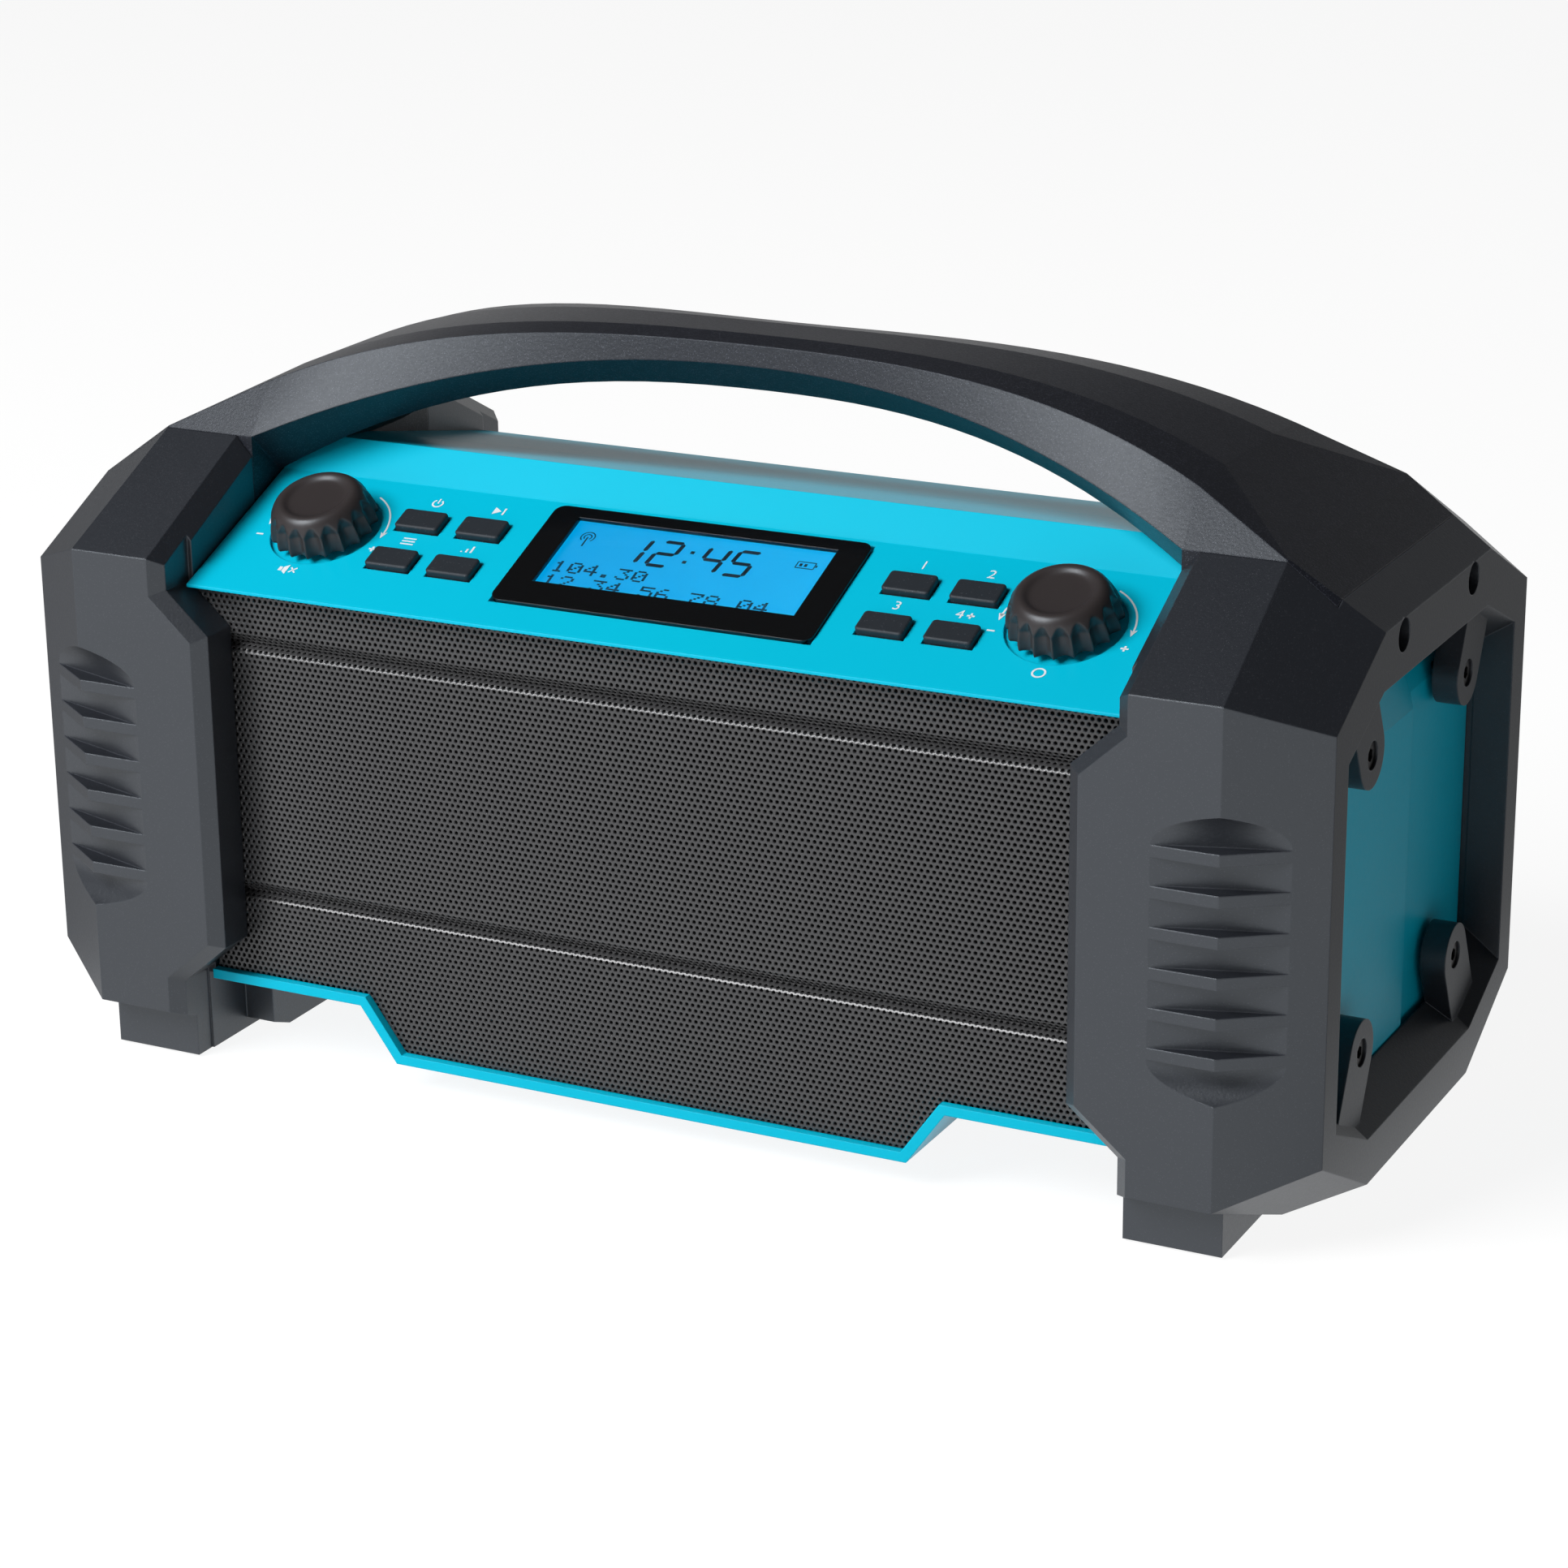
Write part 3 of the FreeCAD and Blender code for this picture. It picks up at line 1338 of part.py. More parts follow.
def battery_pieces():
    """The round cells, the tray that holds them, and the door in the back wall."""
    radius, length, count = size("cell_radius"), size("cell_length"), int(size("cell_count"))
    gap = size("fit_gap")
    pitch = 2 * radius + gap
    start_z, y = size("battery_z"), size("battery_y")
    cells = [cylinder(radius, length, (-length - gap + (i % 2) * (length + 2 * gap), y,
                                       start_z + (i // 2) * pitch), (1, 0, 0)) for i in range(count)]
    rows = (count + 1) // 2
    top = start_z + (rows - 1) * pitch
    grouped("battery_cells", cells)
    half, tray_wall = length + 2 * gap, 1.6
    low = start_z - radius - gap - tray_wall
    tray = box_between((-half - tray_wall, y - radius - gap - tray_wall, low),
                       (half + tray_wall, y + radius * 0.5, top + radius + gap + tray_wall))
    room = box_between((-half, y - radius - gap, start_z - radius - gap),
                       (half, y + radius + 5, top + radius + gap))
    floor = size("bottom_level") + size("wall")
    legs = [box_between((side * half * 0.6 - 3, y - 6, floor), (side * half * 0.6 + 3, y + 4, low))
            for side in (-1, 1)]
    tray = tray.cut(room).multiFuse(legs)
    feature(tray, "battery_tray")
    back = back_wall()
    door = boxed("door_plate", "sizes.door_width", "sizes.door_thick", "sizes.door_height",
                 Placement(Vector(0, back, size("door_centre_z") - size("door_height") / 2), Rotation()))
    base = doc.addObject("Part::Feature", "door_holes")
    radius = size("housing_screw_radius") + size("screw_gap")
    places = door_screw_places()
    base.Shape = Part.makeCompound([cylinder(radius, 20, (x, back - 10, z), (0, 1, 0)) for x, z in places])
    cut = doc.addObject("Part::Cut", "battery_door_cut")
    cut.Base, cut.Tool = door, base
    doc.recompute()
    node(cut, "battery_door")


def door_screw_places():
    """The two screws of the battery door."""
    inset = size("door_width") / 2 - 5
    return [(-inset, size("door_centre_z")), (inset, size("door_centre_z"))]


def screw_solid(tip, direction, length, radius, head_radius, head_length):
    """A screw from its tip to the top of its head, with a six-sided socket."""
    start, along = Vector(*tip), Vector(*direction)
    shank = Part.makeCylinder(radius, length, start, along)
    head = Part.makeCylinder(head_radius, head_length, start + along * length, along)
    socket_radius = head_radius * 0.5
    corners = [Vector(socket_radius * math.cos(i * math.pi / 3), socket_radius * math.sin(i * math.pi / 3), 0)
               for i in range(6)]
    key = Part.Face(Part.makePolygon(corners + [corners[0]])).extrude(Vector(0, 0, head_length))
    key.Placement = Placement(start + along * (length + head_length * 0.4), Rotation(Vector(0, 0, 1), along))
    return shank.fuse(head).cut(key)


def screw_pieces():
    """Every screw that shows or holds, grouped by kind."""
    lug_top = HALF_WIDTH - size("lug_recess") - size("lug_head_depth") + 0.05
    lug_set = []
    for _, _, y, z in lug_centres():
        length = size("lug_screw_length")
        screw = screw_solid((lug_top - length, y, z), (1, 0, 0), length, size("lug_screw_radius"),
                            size("lug_head_radius"), 2.0)
        lug_set += [screw, other_end(screw)]
    grouped("bumper_screws", lug_set)
    handle_set = []
    head_x, length = HALF_WIDTH - size("handle_head_inset") + 0.05, size("handle_screw_length") - 1
    for side in (-1, 1):
        tip = (head_x - length, side * size("handle_screw_y"), size("handle_screw_z"))
        screw = screw_solid(tip, (1, 0, 0), length, size("handle_screw_radius"),
                            size("handle_head_radius"), 3.0)
        handle_set += [screw, other_end(screw)]
    grouped("handle_screws", handle_set)
    shell_set = []
    tip = FRONT + size("housing_split_y") - size("housing_screw_length") / 2 + 0.05
    for x, z in housing_screw_places():
        shell_set.append(screw_solid((x, tip, z), (0, 1, 0), size("housing_screw_length"),
                                     size("housing_screw_radius"), size("housing_screw_head"), 2.2))
    grouped("housing_screws", shell_set)
    back = back_wall() + size("door_thick") / 2 + 0.05
    length = size("door_screw_length")
    radius, head = size("housing_screw_radius"), size("housing_screw_head")
    grouped("door_screws", [screw_solid((x, back - length, z), (0, 1, 0), length, radius, head, 1.6)
                            for x, z in door_screw_places()])


def pad_pieces():
    """The four rubber pads under the feet."""
    half_x, half_y, thick = size("pad_width") / 2, size("pad_length") / 2, size("pad_thick")
    pads = []
    for x, y in pad_places():
        for side in (-1, 1):
            low = (side * x - half_x, y - half_y, 0)
            pads.append(box_between(low, (side * x + half_x, y + half_y, thick)))
    grouped("foot_pads", pads)


def socket_pieces():
    """The two sockets and the soft cover that folds over the audio one."""
    back = back_wall()
    for label, bore, z in socket_places():
        body = new_body(label)
        pad(body, label + "_pad", circle(body, label + "_ring", "sizes.socket_radius"), "sizes.socket_length")
        alias = "sizes.dc_bore" if label == "dc_socket" else "sizes.aux_bore"
        pocket(body, label + "_bore", circle(body, label + "_hole", alias), "sizes.socket_length - 2", True)
        place = Placement(Vector(socket_x(), back, z), Rotation(Vector(1, 0, 0), 90))
        body.Placement = place
        node(body, label)
    half_x, half_z = size("cover_width") / 2, size("cover_height") / 2
    x, z, thick = socket_x(), size("socket_z") - size("socket_pitch") / 2, size("cover_thick")
    gap, bead = size("fit_gap"), size("cover_hinge_radius")
    plate = box_between((x - half_x, back + gap, z - half_z), (x + half_x, back + gap + thick, z + half_z))
    edge_x = x + half_x + bead * 0.6
    roll = cylinder(bead, 2 * half_z, (edge_x, back + gap + bead, z - half_z), (0, 0, 1))
    feature(plate.fuse(roll), "socket_cover")


def antenna_pieces():
    """The pivot screw, the knuckle with its rod and cap, and the ledge that the folded rod lies on."""
    x, y, z = -antenna_x(), antenna_y(), size("antenna_z")
    depth, radius = size("knuckle_depth"), size("antenna_radius")
    pin_start = back_wall() - size("pivot_screw_depth")
    pin_top = y + depth / 2 + 0.2
    pin = screw_solid((x, pin_start, z), (0, 1, 0), pin_top - pin_start, size("pivot_radius"),
                      size("pivot_radius") * 1.9, 1.6)
    feature(pin, "antenna_pivot_screw")
    barrel = cylinder(size("knuckle_radius"), depth, (x, y - depth / 2, z), (0, 1, 0))
    arm_length = size("knuckle_radius") + 8
    arm = cylinder(radius, arm_length, (x, y, z), (1, 0, 0))
    bore = cylinder(size("pivot_radius") + 0.05, BIG, (x, y - depth, z), (0, 1, 0))
    feature(barrel.fuse(arm).cut(bore), "antenna_knuckle")
    seam = 0.02
    start, length = x + arm_length + seam, size("antenna_length")
    feature(cylinder(radius, length, (start, y, z), (1, 0, 0)), "antenna_rod")
    cap_start = start + length + seam
    feature(cylinder(size("antenna_cap_radius"), size("antenna_cap_length"), (cap_start, y, z), (1, 0, 0)),
            "antenna_cap")
    reach = size("antenna_stand_off") + radius
    top = z - radius - size("fit_gap")
    place = Placement(Vector(antenna_x() - size("antenna_rest_inset"), back_wall() + reach / 2 + seam,
                             top - size("antenna_rest_height")), Rotation())
    rest = boxed("antenna_rest", "sizes.antenna_rest_width", "sizes.antenna_stand_off + sizes.antenna_radius",
                 "sizes.antenna_rest_height", place)
    node(rest, "antenna_rest")


def build_radio():
    """Makes every piece of the radio."""
    right = right_bumper_shape()
    feature(right, "right_bumper")
    feature(other_end(right), "left_bumper")
    feature(handle_shape(), "carry_handle")
    shell = housing_shell()
    feature(front_housing_shape(shell), "front_housing")
    feature(rear_housing_shape(shell), "rear_housing")
    feature(grille_shape(), "speaker_grille")
    display_pieces()
    board_pieces()
    for label, x, along in button_places():
        button_body(label, x, along)
    for label, x in knob_places():
        knob_body(label + "_knob", x)
        shaft_body(label + "_shaft", x)
        encoder_body(label + "_encoder", x)
        plunger_body(label + "_switch_plunger", x)
    for label, side in (("left_speaker", -1), ("right_speaker", 1)):
        speaker_pieces(label, side)
    gasket_pieces()
    battery_pieces()
    screw_pieces()
    pad_pieces()
    socket_pieces()
    antenna_pieces()


def export_nodes():
    """Checks every object, then writes one STEP file per piece."""
    doc.recompute()
    for obj in doc.Objects:
        if "Invalid" in obj.State or "Error" in obj.State:
            raise ValueError("%s failed: %s" % (obj.Label, obj.State))
    for obj in NODES:
        if obj.Shape.isNull() or not obj.Shape.isValid():
            raise ValueError("%s has no valid shape" % obj.Label)
    os.makedirs("parts", exist_ok=True)
    for obj in NODES:
        obj.Shape.exportStep(os.path.join("parts", obj.Label + ".step"))


build_radio()
export_nodes()
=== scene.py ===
"""Looks of the jobsite radio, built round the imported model.

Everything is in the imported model's frame: X runs along the radio, the front faces -Y, Z is up. Sizes in
the classes are millimetres, and meshes are metres.
"""

import json
import logging
import math
from collections.abc import Iterable
from dataclasses import dataclass, field
from enum import Enum

import bpy
import numpy as np
from mathutils import Matrix

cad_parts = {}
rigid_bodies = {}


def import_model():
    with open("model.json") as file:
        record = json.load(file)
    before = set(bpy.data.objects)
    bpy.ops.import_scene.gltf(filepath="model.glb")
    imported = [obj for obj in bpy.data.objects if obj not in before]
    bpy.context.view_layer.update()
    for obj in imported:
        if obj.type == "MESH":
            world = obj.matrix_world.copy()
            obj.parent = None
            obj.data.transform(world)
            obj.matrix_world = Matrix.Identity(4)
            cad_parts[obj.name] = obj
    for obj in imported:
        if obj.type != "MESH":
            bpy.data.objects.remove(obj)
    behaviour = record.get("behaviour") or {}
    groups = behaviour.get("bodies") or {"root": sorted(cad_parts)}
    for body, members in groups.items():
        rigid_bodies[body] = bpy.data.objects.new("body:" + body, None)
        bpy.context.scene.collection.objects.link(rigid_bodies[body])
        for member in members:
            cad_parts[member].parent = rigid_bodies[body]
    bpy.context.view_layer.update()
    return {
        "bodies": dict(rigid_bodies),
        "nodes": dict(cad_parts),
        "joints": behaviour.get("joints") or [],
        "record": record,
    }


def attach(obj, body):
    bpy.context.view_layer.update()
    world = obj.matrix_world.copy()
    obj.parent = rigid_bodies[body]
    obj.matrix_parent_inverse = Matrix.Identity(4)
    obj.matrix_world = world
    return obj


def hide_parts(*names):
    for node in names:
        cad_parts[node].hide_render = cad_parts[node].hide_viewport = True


MM = 0.001
BODY = "chassis"
EDGE_SAMPLES = 4
# Height of a digit in Blender's own font, where the font's size is 1.
DIGIT_SHARE = 0.72
log = logging.getLogger("jobsite_radio")


class Side(Enum):
    """The end of the radio a piece belongs to."""

    LEFT = -1
    RIGHT = 1


# Meshes


def added(name: str, data: bpy.types.ID) -> bpy.types.Object:
    """Puts data into the scene as a new object.

    Args:
        name: Name of the object.
        data: The mesh, curve, lamp or camera.

    Returns:
        The new object.
    """
    made = bpy.data.objects.new(name, data)
    bpy.context.scene.collection.objects.link(made)
    return made


def grid_faces(rows: int, columns: int, wrapped: bool = False) -> np.ndarray:
    """Quads of a grid of points stored row by row.

    Args:
        rows: Points along the first parameter.
        columns: Points along the second parameter.
        wrapped: Whether the last column joins the first.

    Returns:
        One row of four point numbers for each quad.
    """
    across = columns if wrapped else columns - 1
    i, j = np.meshgrid(np.arange(rows - 1), np.arange(across), indexing="ij")
    following = (j + 1) % columns
    quads = np.stack([i * columns + j, i * columns + following,
                      (i + 1) * columns + following, (i + 1) * columns + j], axis=-1)
    return quads.reshape(-1, 4)


def joined(parts: list[tuple[np.ndarray, np.ndarray]]) -> tuple[np.ndarray, np.ndarray]:
    """Several sets of points and faces as one, all faces with as many sides.

    Args:
        parts: Points and faces of each set.

    Returns:
        The points and the renumbered faces.
    """
    starts = np.cumsum([0] + [len(points) for points, _ in parts[:-1]])
    points = np.concatenate([points for points, _ in parts])
    faces = np.concatenate([faces + start for (_, faces), start in zip(parts, starts)])
    return points, faces


def make_piece(name: str, points: np.ndarray, faces: np.ndarray, finish: bpy.types.Material,
               body: str = BODY, smooth: bool = False, replaces: tuple[str, ...] = ()) -> bpy.types.Object:
    """Puts points and faces into a mesh, gives it its finish and lets it ride on a body.

    Args:
        name: Name of the piece.
        points: Places in millimetres, one row each.
        faces: Point numbers, one row for each face.
        finish: The material.
        body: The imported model's body it moves with.
        smooth: Whether the shading runs over the faces' edges.
        replaces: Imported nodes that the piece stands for.

    Returns:
        The new object.
    """
    mesh = bpy.data.meshes.new(name)
    count, sides = faces.shape
    mesh.vertices.add(len(points))
    mesh.vertices.foreach_set("co", (points * MM).astype(np.float32).ravel())
    mesh.loops.add(count * sides)
    mesh.loops.foreach_set("vertex_index", faces.astype(np.int32).ravel())
    mesh.polygons.add(count)
    mesh.polygons.foreach_set("loop_start", np.arange(0, count * sides, sides, dtype=np.int32))
    mesh.polygons.foreach_set("use_smooth", np.full(count, smooth))
    mesh.update(calc_edges=True)
    mesh.materials.append(finish)
    piece = added(name, mesh)
    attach(piece, body)
    if replaces:
        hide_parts(*replaces)
    log.info("%s: %d faces", name, count)
    return piece


def dress(frame: dict, finish: bpy.types.Material, *nodes: str) -> None:
    """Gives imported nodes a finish.

    Args:
        frame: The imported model.
        finish: The material.
        nodes: Names of the nodes.
    """
    for name in nodes:
        mesh = frame["nodes"][name].data
        mesh.materials.clear()
        mesh.materials.append(finish)
        log.info("%s: dressed in %s", name, finish.name)


@dataclass(frozen=True)
class ControlSlope:
    """The sloped control panel, whose own axes run across it, up it and out of it."""

    lip_y: float = -68.4
    lip_z: float = 116.7
    angle: float = 22.6
    dial_across: float = 92.5
    dial_along: float = 25.7

    def place(self, local: np.ndarray) -> np.ndarray:
        """Turns panel places into radio places.

        The point is the lip plus `along` up the slope plus `rise` along the panel's normal.

        Args:
            local: Rows of across, along and rise in millimetres.

        Returns:
            Rows of x, y and z in millimetres.
        """
        c, s = math.cos(math.radians(self.angle)), math.sin(math.radians(self.angle))
        across, along, rise = local[:, 0], local[:, 1], local[:, 2]
        return np.stack([across, self.lip_y + along * c - rise * s,
                         self.lip_z + along * s + rise * c], axis=1)


SLOPE = ControlSlope()


# Shader groups


class Shop:
    """Shader node groups and small helpers that the finishes share."""

    @staticmethod
    def group(name: str, inputs: dict[str, tuple[str, object]],
              outputs: dict[str, str]) -> tuple[bpy.types.NodeTree, bpy.types.Node, bpy.types.Node]:
        """Starts a node group with named sockets.

        Args:
            name: Name of the group.
            inputs: Socket type and default for each input.
            outputs: Socket type for each output.

        Returns:
            The group, its input node and its output node.
        """
        tree = bpy.data.node_groups.new(name, "ShaderNodeTree")
        for label, (kind, default) in inputs.items():
            socket = tree.interface.new_socket(name=label, in_out="INPUT", socket_type=kind)
            socket.default_value = default
        for label, kind in outputs.items():
            tree.interface.new_socket(name=label, in_out="OUTPUT", socket_type=kind)
        return tree, tree.nodes.new("NodeGroupInput"), tree.nodes.new("NodeGroupOutput")

    @staticmethod
    def math(tree: bpy.types.NodeTree, kind: str, first: object, second: object) -> bpy.types.NodeSocket:
        """A Math node fed by sockets or numbers.

        Args:
            tree: Tree that gets the node.
            kind: The operation.
            first: Socket or number.
            second: Socket or number.

        Returns:
            The result's socket.
        """
        made = tree.nodes.new("ShaderNodeMath")
        made.operation = kind
        for index, value in enumerate((first, second)):
            if isinstance(value, (int, float)):
                made.inputs[index].default_value = value
            else:
                tree.links.new(value, made.inputs[index])
        return made.outputs[0]

    @staticmethod
    def fall(tree: bpy.types.NodeTree, value: bpy.types.NodeSocket,
             limits: tuple[float, float, float, float]) -> bpy.types.NodeSocket:
        """A smooth step of a value.

        Args:
            tree: Tree that gets the node.
            value: The value's socket.
            limits: Where the step starts and ends, and the results there.

        Returns:
            The result's socket.
        """
        ramp = tree.nodes.new("ShaderNodeMapRange")
        ramp.interpolation_type = "SMOOTHSTEP"
        for label, limit in zip(("From Min", "From Max", "To Min", "To Max"), limits):
            ramp.inputs[label].default_value = limit
        tree.links.new(value, ramp.inputs["Value"])
        return ramp.outputs[0]

    @staticmethod
    def noise(tree: bpy.types.NodeTree, scale: float) -> bpy.types.NodeSocket:
        """Noise on object coordinates.

        Args:
            tree: Tree that gets the nodes.
            scale: How many waves lie in a metre.

        Returns:
            The noise's socket, about 0.5 on average.
        """
        made = tree.nodes.new("ShaderNodeTexNoise")
        made.inputs["Scale"].default_value = scale
        where = tree.nodes.new("ShaderNodeTexCoord")
        tree.links.new(where.outputs["Object"], made.inputs["Vector"])
        return made.outputs[0]

    @staticmethod
    def rounded(tree: bpy.types.NodeTree, radius: float) -> bpy.types.NodeSocket:
        """The normal that a piece has where its edges are rounded.

        Args:
            tree: Tree that gets the node.
            radius: Radius of the edges in millimetres.

        Returns:
            The normal's socket.
        """
        bevel = tree.nodes.new("ShaderNodeBevel")
        bevel.samples = EDGE_SAMPLES
        bevel.inputs["Radius"].default_value = radius * MM
        return bevel.outputs[0]

    def grain(self) -> bpy.types.NodeTree:
        """Moulded grain: fine height, bright specks and a slow drift of tone.

        The height is noise at the grain's size. A speck is a cell of a fine cell pattern whose own random
        number passes a threshold. The drift is slow noise round one.

        Returns:
            The node group.
        """
        if "moulded_grain" in bpy.data.node_groups:
            return bpy.data.node_groups["moulded_grain"]
        tree, start, end = self.group(
            "moulded_grain",
            {"Grains per metre": ("NodeSocketFloat", 1800.0), "Specks per metre": ("NodeSocketFloat", 2200.0),
             "Speck share": ("NodeSocketFloat", 0.05), "Drift": ("NodeSocketFloat", 0.1)},
            {"Height": "NodeSocketFloat", "Specks": "NodeSocketFloat", "Tone": "NodeSocketFloat"})
        where = tree.nodes.new("ShaderNodeTexCoord")
        fine = tree.nodes.new("ShaderNodeTexNoise")
        fine.inputs["Detail"].default_value = 3.0
        tree.links.new(where.outputs["Object"], fine.inputs["Vector"])
        tree.links.new(start.outputs["Grains per metre"], fine.inputs["Scale"])
        cells = tree.nodes.new("ShaderNodeTexVoronoi")
        tree.links.new(where.outputs["Object"], cells.inputs["Vector"])
        tree.links.new(start.outputs["Specks per metre"], cells.inputs["Scale"])
        pick = tree.nodes.new("ShaderNodeSeparateColor")
        tree.links.new(cells.outputs["Color"], pick.inputs[0])
        limit = self.math(tree, "SUBTRACT", 1.0, start.outputs["Speck share"])
        bright = self.math(tree, "GREATER_THAN", pick.outputs[0], limit)
        inner = self.math(tree, "LESS_THAN", cells.outputs["Distance"], 0.45)
        specks = self.math(tree, "MULTIPLY", self.math(tree, "MULTIPLY", bright, inner), pick.outputs[1])
        slow = self.math(tree, "SUBTRACT", self.noise(tree, 28.0), 0.5)
        swing = self.math(tree, "MULTIPLY", slow, start.outputs["Drift"])
        tree.links.new(fine.outputs[0], end.inputs["Height"])
        tree.links.new(specks, end.inputs["Specks"])
        tree.links.new(self.math(tree, "ADD", 1.0, swing), end.inputs["Tone"])
        return tree

    def edges(self) -> bpy.types.NodeTree:
        """Where a piece's edges are, the mask of the painted edge highlight: one minus the match of the
        rounded and the plain normal.

        Returns:
            The node group.
        """
        if "painted_edge_highlight" in bpy.data.node_groups:
            return bpy.data.node_groups["painted_edge_highlight"]
        tree, start, end = self.group("painted_edge_highlight",
                                      {"Rounded": ("NodeSocketVector", (0.0, 0.0, 0.0)),
                                       "Gain": ("NodeSocketFloat", 4.0)}, {"Edge": "NodeSocketFloat"})
        plain = tree.nodes.new("ShaderNodeNewGeometry")
        match = tree.nodes.new("ShaderNodeVectorMath")
        match.operation = "DOT_PRODUCT"
        tree.links.new(start.outputs["Rounded"], match.inputs[0])
        tree.links.new(plain.outputs["True Normal"], match.inputs[1])
        # Mask of the painted edge highlight, strongest where the rounded normal turns away from the plain
        # one.
        gap = self.math(tree, "SUBTRACT", 1.0, match.outputs["Value"])
        made = tree.nodes.new("ShaderNodeMath")
        made.operation, made.use_clamp = "MULTIPLY", True
        tree.links.new(gap, made.inputs[0])
        tree.links.new(start.outputs["Gain"], made.inputs[1])
        tree.links.new(made.outputs[0], end.inputs["Edge"])
        return tree


SHOP = Shop()


def new_material(name: str) -> tuple[bpy.types.Material, bpy.types.NodeTree, bpy.types.Node]:
    """An empty material with one Principled shader.

    Args:
        name: Name of the material.

    Returns:
        The material, its tree and the shader.
    """
    material = bpy.data.materials.new(name)
    material.use_nodes = True
    return material, material.node_tree, material.node_tree.nodes["Principled BSDF"]


def tinted(tree: bpy.types.NodeTree, share: object, low: tuple, high: tuple) -> bpy.types.NodeSocket:
    """A colour between two, by a share.

    Args:
        tree: Tree that gets the nodes.
        share: Socket that gives the share.
        low: Colour at 0.
        high: Colour at 1.

    Returns:
        The colour's socket.
    """
    mix = tree.nodes.new("ShaderNodeMix")
    mix.data_type = "RGBA"
    tree.links.new(share, mix.inputs[0])
    mix.inputs[6].default_value = (*low, 1.0)
    mix.inputs[7].default_value = (*high, 1.0)
    return mix.outputs[2]


# Finishes


@dataclass(frozen=True)
class Moulded:
    """A moulded plastic or rubber: grain, specks, rounded edges, and a painted highlight that lifts the
    colour along the edges.
    """

    name: str
    colour: tuple[float, float, float]
    roughness: float = 0.5
    grain: float = 0.02
    grains: float = 1800.0
    specks: float = 0.0
    speck_colour: tuple[float, float, float] = (0.35, 0.36, 0.4)
    drift: float = 0.12
    edge_radius: float = 0.45
    # How much lighter the painted edge highlight makes the colour.
    edge_highlight_lift: float = 1.35
    specular: float = 0.5
    speck_scale: float = 4200.0

    def build(self) -> bpy.types.Material:
        """Makes the material: tone times colour, with a painted edge highlight that lifts the colour on
        edges, with specks, over a grained normal.

        Returns:
            The material.
        """
        material, tree, shader = new_material(self.name)
        grain = tree.nodes.new("ShaderNodeGroup")
        grain.node_tree = SHOP.grain()
        grain.inputs["Grains per metre"].default_value = self.grains
        grain.inputs["Speck share"].default_value = self.specks
        grain.inputs["Specks per metre"].default_value = self.speck_scale
        grain.inputs["Drift"].default_value = self.drift
        rounded = SHOP.rounded(tree, self.edge_radius)
        edges = tree.nodes.new("ShaderNodeGroup")
        edges.node_tree = SHOP.edges()
        tree.links.new(rounded, edges.inputs["Rounded"])
        # Painted highlight: a lighter copy of the colour, blended in along the edges.
        lifted = tuple(min(1.0, c * self.edge_highlight_lift + 0.004) for c in self.colour)
        base = tinted(tree, edges.outputs["Edge"], self.colour, lifted)
        toned = tree.nodes.new("ShaderNodeVectorMath")
        toned.operation = "SCALE"
        tree.links.new(base, toned.inputs[0])
        tree.links.new(grain.outputs["Tone"], toned.inputs["Scale"])
        mix = tree.nodes.new("ShaderNodeMix")
        mix.data_type = "RGBA"
        tree.links.new(grain.outputs["Specks"], mix.inputs[0])
        tree.links.new(toned.outputs[0], mix.inputs[6])
        mix.inputs[7].default_value = (*self.speck_colour, 1.0)
        tree.links.new(mix.outputs[2], shader.inputs["Base Color"])
        swing = SHOP.math(tree, "MULTIPLY", grain.outputs["Height"], 0.1)
        rough = SHOP.math(tree, "ADD", self.roughness - 0.05, swing)
        tree.links.new(rough, shader.inputs["Roughness"])
        bump = tree.nodes.new("ShaderNodeBump")
        bump.inputs["Strength"].default_value = 1.0
        bump.inputs["Distance"].default_value = self.grain * MM
        tree.links.new(grain.outputs["Height"], bump.inputs["Height"])
        tree.links.new(rounded, bump.inputs["Normal"])
        tree.links.new(bump.outputs[0], shader.inputs["Normal"])
        shader.inputs["Specular IOR Level"].default_value = self.specular
        shader.inputs["Specular Tint"].default_value = (0.86, 0.93, 1.0, 1.0)
        return material


@dataclass(frozen=True)
class Metal:
    """A plated, coated or brushed metal."""

    name: str
    colour: tuple[float, float, float]
    roughness: float = 0.3
    metallic: float = 1.0
    streaks: float = 0.1
    edge_radius: float = 0.15

    def build(self) -> bpy.types.Material:
        """Makes the material: roughness and tone drift with a stretched noise.

        Returns:
            The material.
        """
        material, tree, shader = new_material(self.name)
        where = tree.nodes.new("ShaderNodeTexCoord")
        stretch = tree.nodes.new("ShaderNodeMapping")
        stretch.inputs["Scale"].default_value = (300.0, 3000.0, 3000.0)
        noise = tree.nodes.new("ShaderNodeTexNoise")
        noise.inputs["Scale"].default_value = 1.0
        tree.links.new(where.outputs["Object"], stretch.inputs["Vector"])
        tree.links.new(stretch.outputs[0], noise.inputs["Vector"])
        dark = tuple(c * (1 - self.streaks) for c in self.colour)
        tree.links.new(tinted(tree, noise.outputs[0], dark, self.colour), shader.inputs["Base Color"])
        rough = SHOP.math(tree, "ADD", self.roughness - self.streaks / 2,
                          SHOP.math(tree, "MULTIPLY", noise.outputs[0], self.streaks))
        tree.links.new(rough, shader.inputs["Roughness"])
        tree.links.new(SHOP.rounded(tree, self.edge_radius), shader.inputs["Normal"])
        shader.inputs["Metallic"].default_value = self.metallic
        return material


